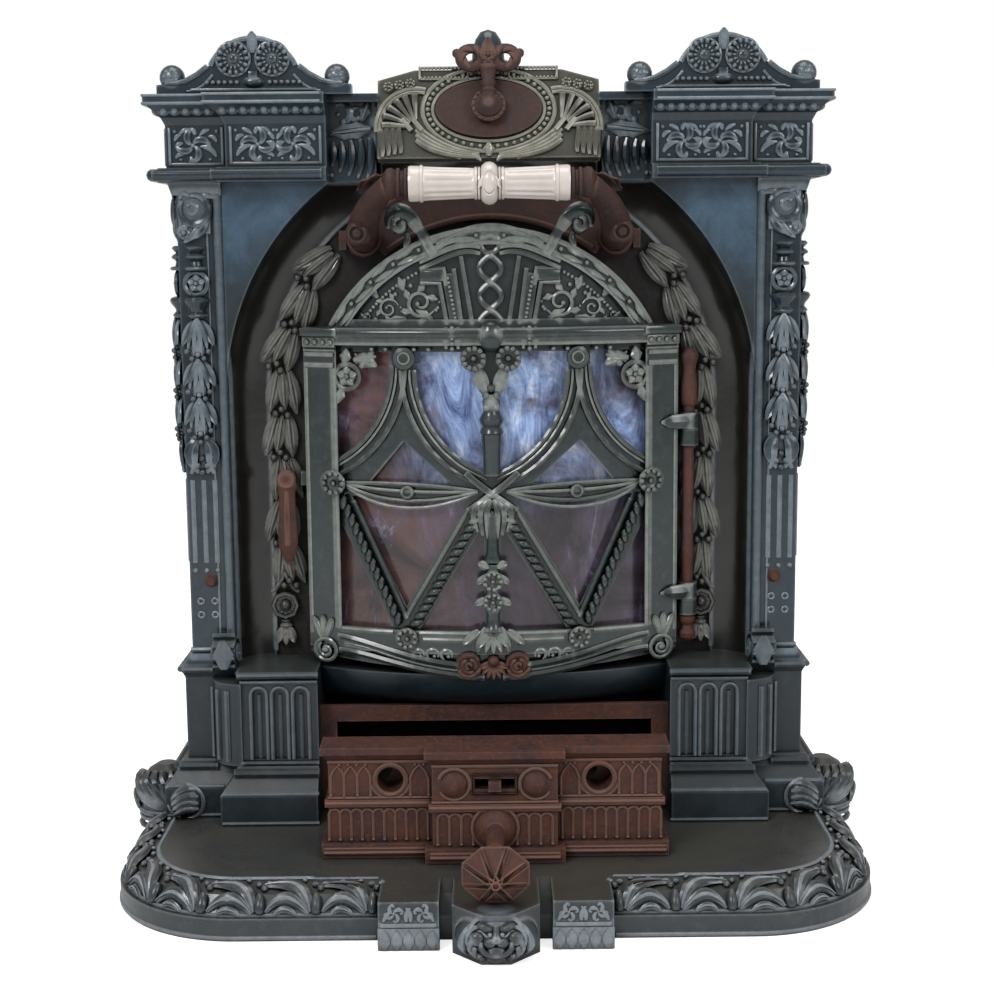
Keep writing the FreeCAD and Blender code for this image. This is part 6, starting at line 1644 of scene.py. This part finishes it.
def carveMask():
    bm = bmesh.new()
    look = maskLook
    wall = onWall(0, look["front"], look["level"])
    bead(bm, wall @ at(7.6, 11.4, 5.6) @ turn(20) @ grow(1.5, 0.7, 1), 4.6, 4.4, 14)    # brow
    lumps(bm, wall, look["sideLumps"])    # eye, cheek and whisker pad
    tube(bm, wall, overMask(bezier(*look["eyelid"], 7), 1.6), 0.9)
    tube(bm, wall, overMask(bezier(*look["lip"], 10), 1.8), look["lipWidths"], 8)    # lip
    for line in look["mane"]:
        strand = overMask(bezier(*line, 9), 0.9)
        tube(bm, wall, strand, [2.5 * share for share in look["strandTaper"]], 8)
    tube(bm, wall, overMask(bezier(*look["bossRim"], 14), 0.5), 1.5, 8)    # rim of the boss
    bothSides(bm)
    bead(bm, wall @ at(0, 0, look["back"]) @ grow(*look["half"], look["deep"]), 1, 1, 28)
    tube(bm, wall, overMask(look["noseLine"], 2.4), [2, 2.6, 3, 3.8], 12, 0.9)    # nose
    lumps(bm, wall, look["middleLumps"])    # tip of the nose, tongue and chin
    settle(bm, "lion_mask", "stove_body", hearthGlaze)


# Side and back walls

wallLook = {
    "side": (262, 138.5, 374), "panel": (118, 338), "rolls": ((150, 381), (136, 367)), "scroll": (40, 140),
    "back": (0, 235, 340), "backPanel": (470, 560), "screws": 7, "screwX": (-228, 228), "screwFoot": -252,
    "screwPitch": 84,
}


def carveWalls():
    bm = bmesh.new()
    look = wallLook
    side = onWall(*look["side"], 90)
    framing(bm, side, *look["panel"], 3, 3)
    for width, height in look["rolls"]:    # rolls along the raised band
        for way in sides:
            tube(bm, side, [(way * width / 2, -height / 2, 5), (way * width / 2, height / 2, 5)], 1.6)
            tube(bm, side, [(-width / 2, way * height / 2, 5), (width / 2, way * height / 2, 5)], 1.6)
    rosette(bm, side @ at(0, 0, 3.4), 30, 8, 5)
    ring(bm, side @ at(0, 0, 1), 36, 3, 28)
    across, up = look["scroll"]
    for dx in sides:
        for dy in sides:
            foliateScroll(bm, side @ at(dx * across, dy * up, 0.4), 13, -dx * dy, 45 if dx > 0 else 135, 4)
    bothSides(bm)
    settle(bm, "side_frames", "stove_body", petrol)
    bm = bmesh.new()
    back = onWall(*look["back"], 180)
    framing(bm, back, *look["backPanel"], 12, 4)
    for number in range(look["screws"]):
        for x in look["screwX"]:
            bead(bm, back @ at(x, look["screwFoot"] + look["screwPitch"] * number, 4), 4, 2.4, 10)
    settle(bm, "back_frame", "stove_body", soot)


carveDrawer()
forgeKnob()
carvePlinth()
carveHearth()
carveMask()
carveWalls()
print("drawer, plinth and hearth carved")


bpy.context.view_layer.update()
for mesh in patterns.values():
    bpy.data.meshes.remove(mesh)
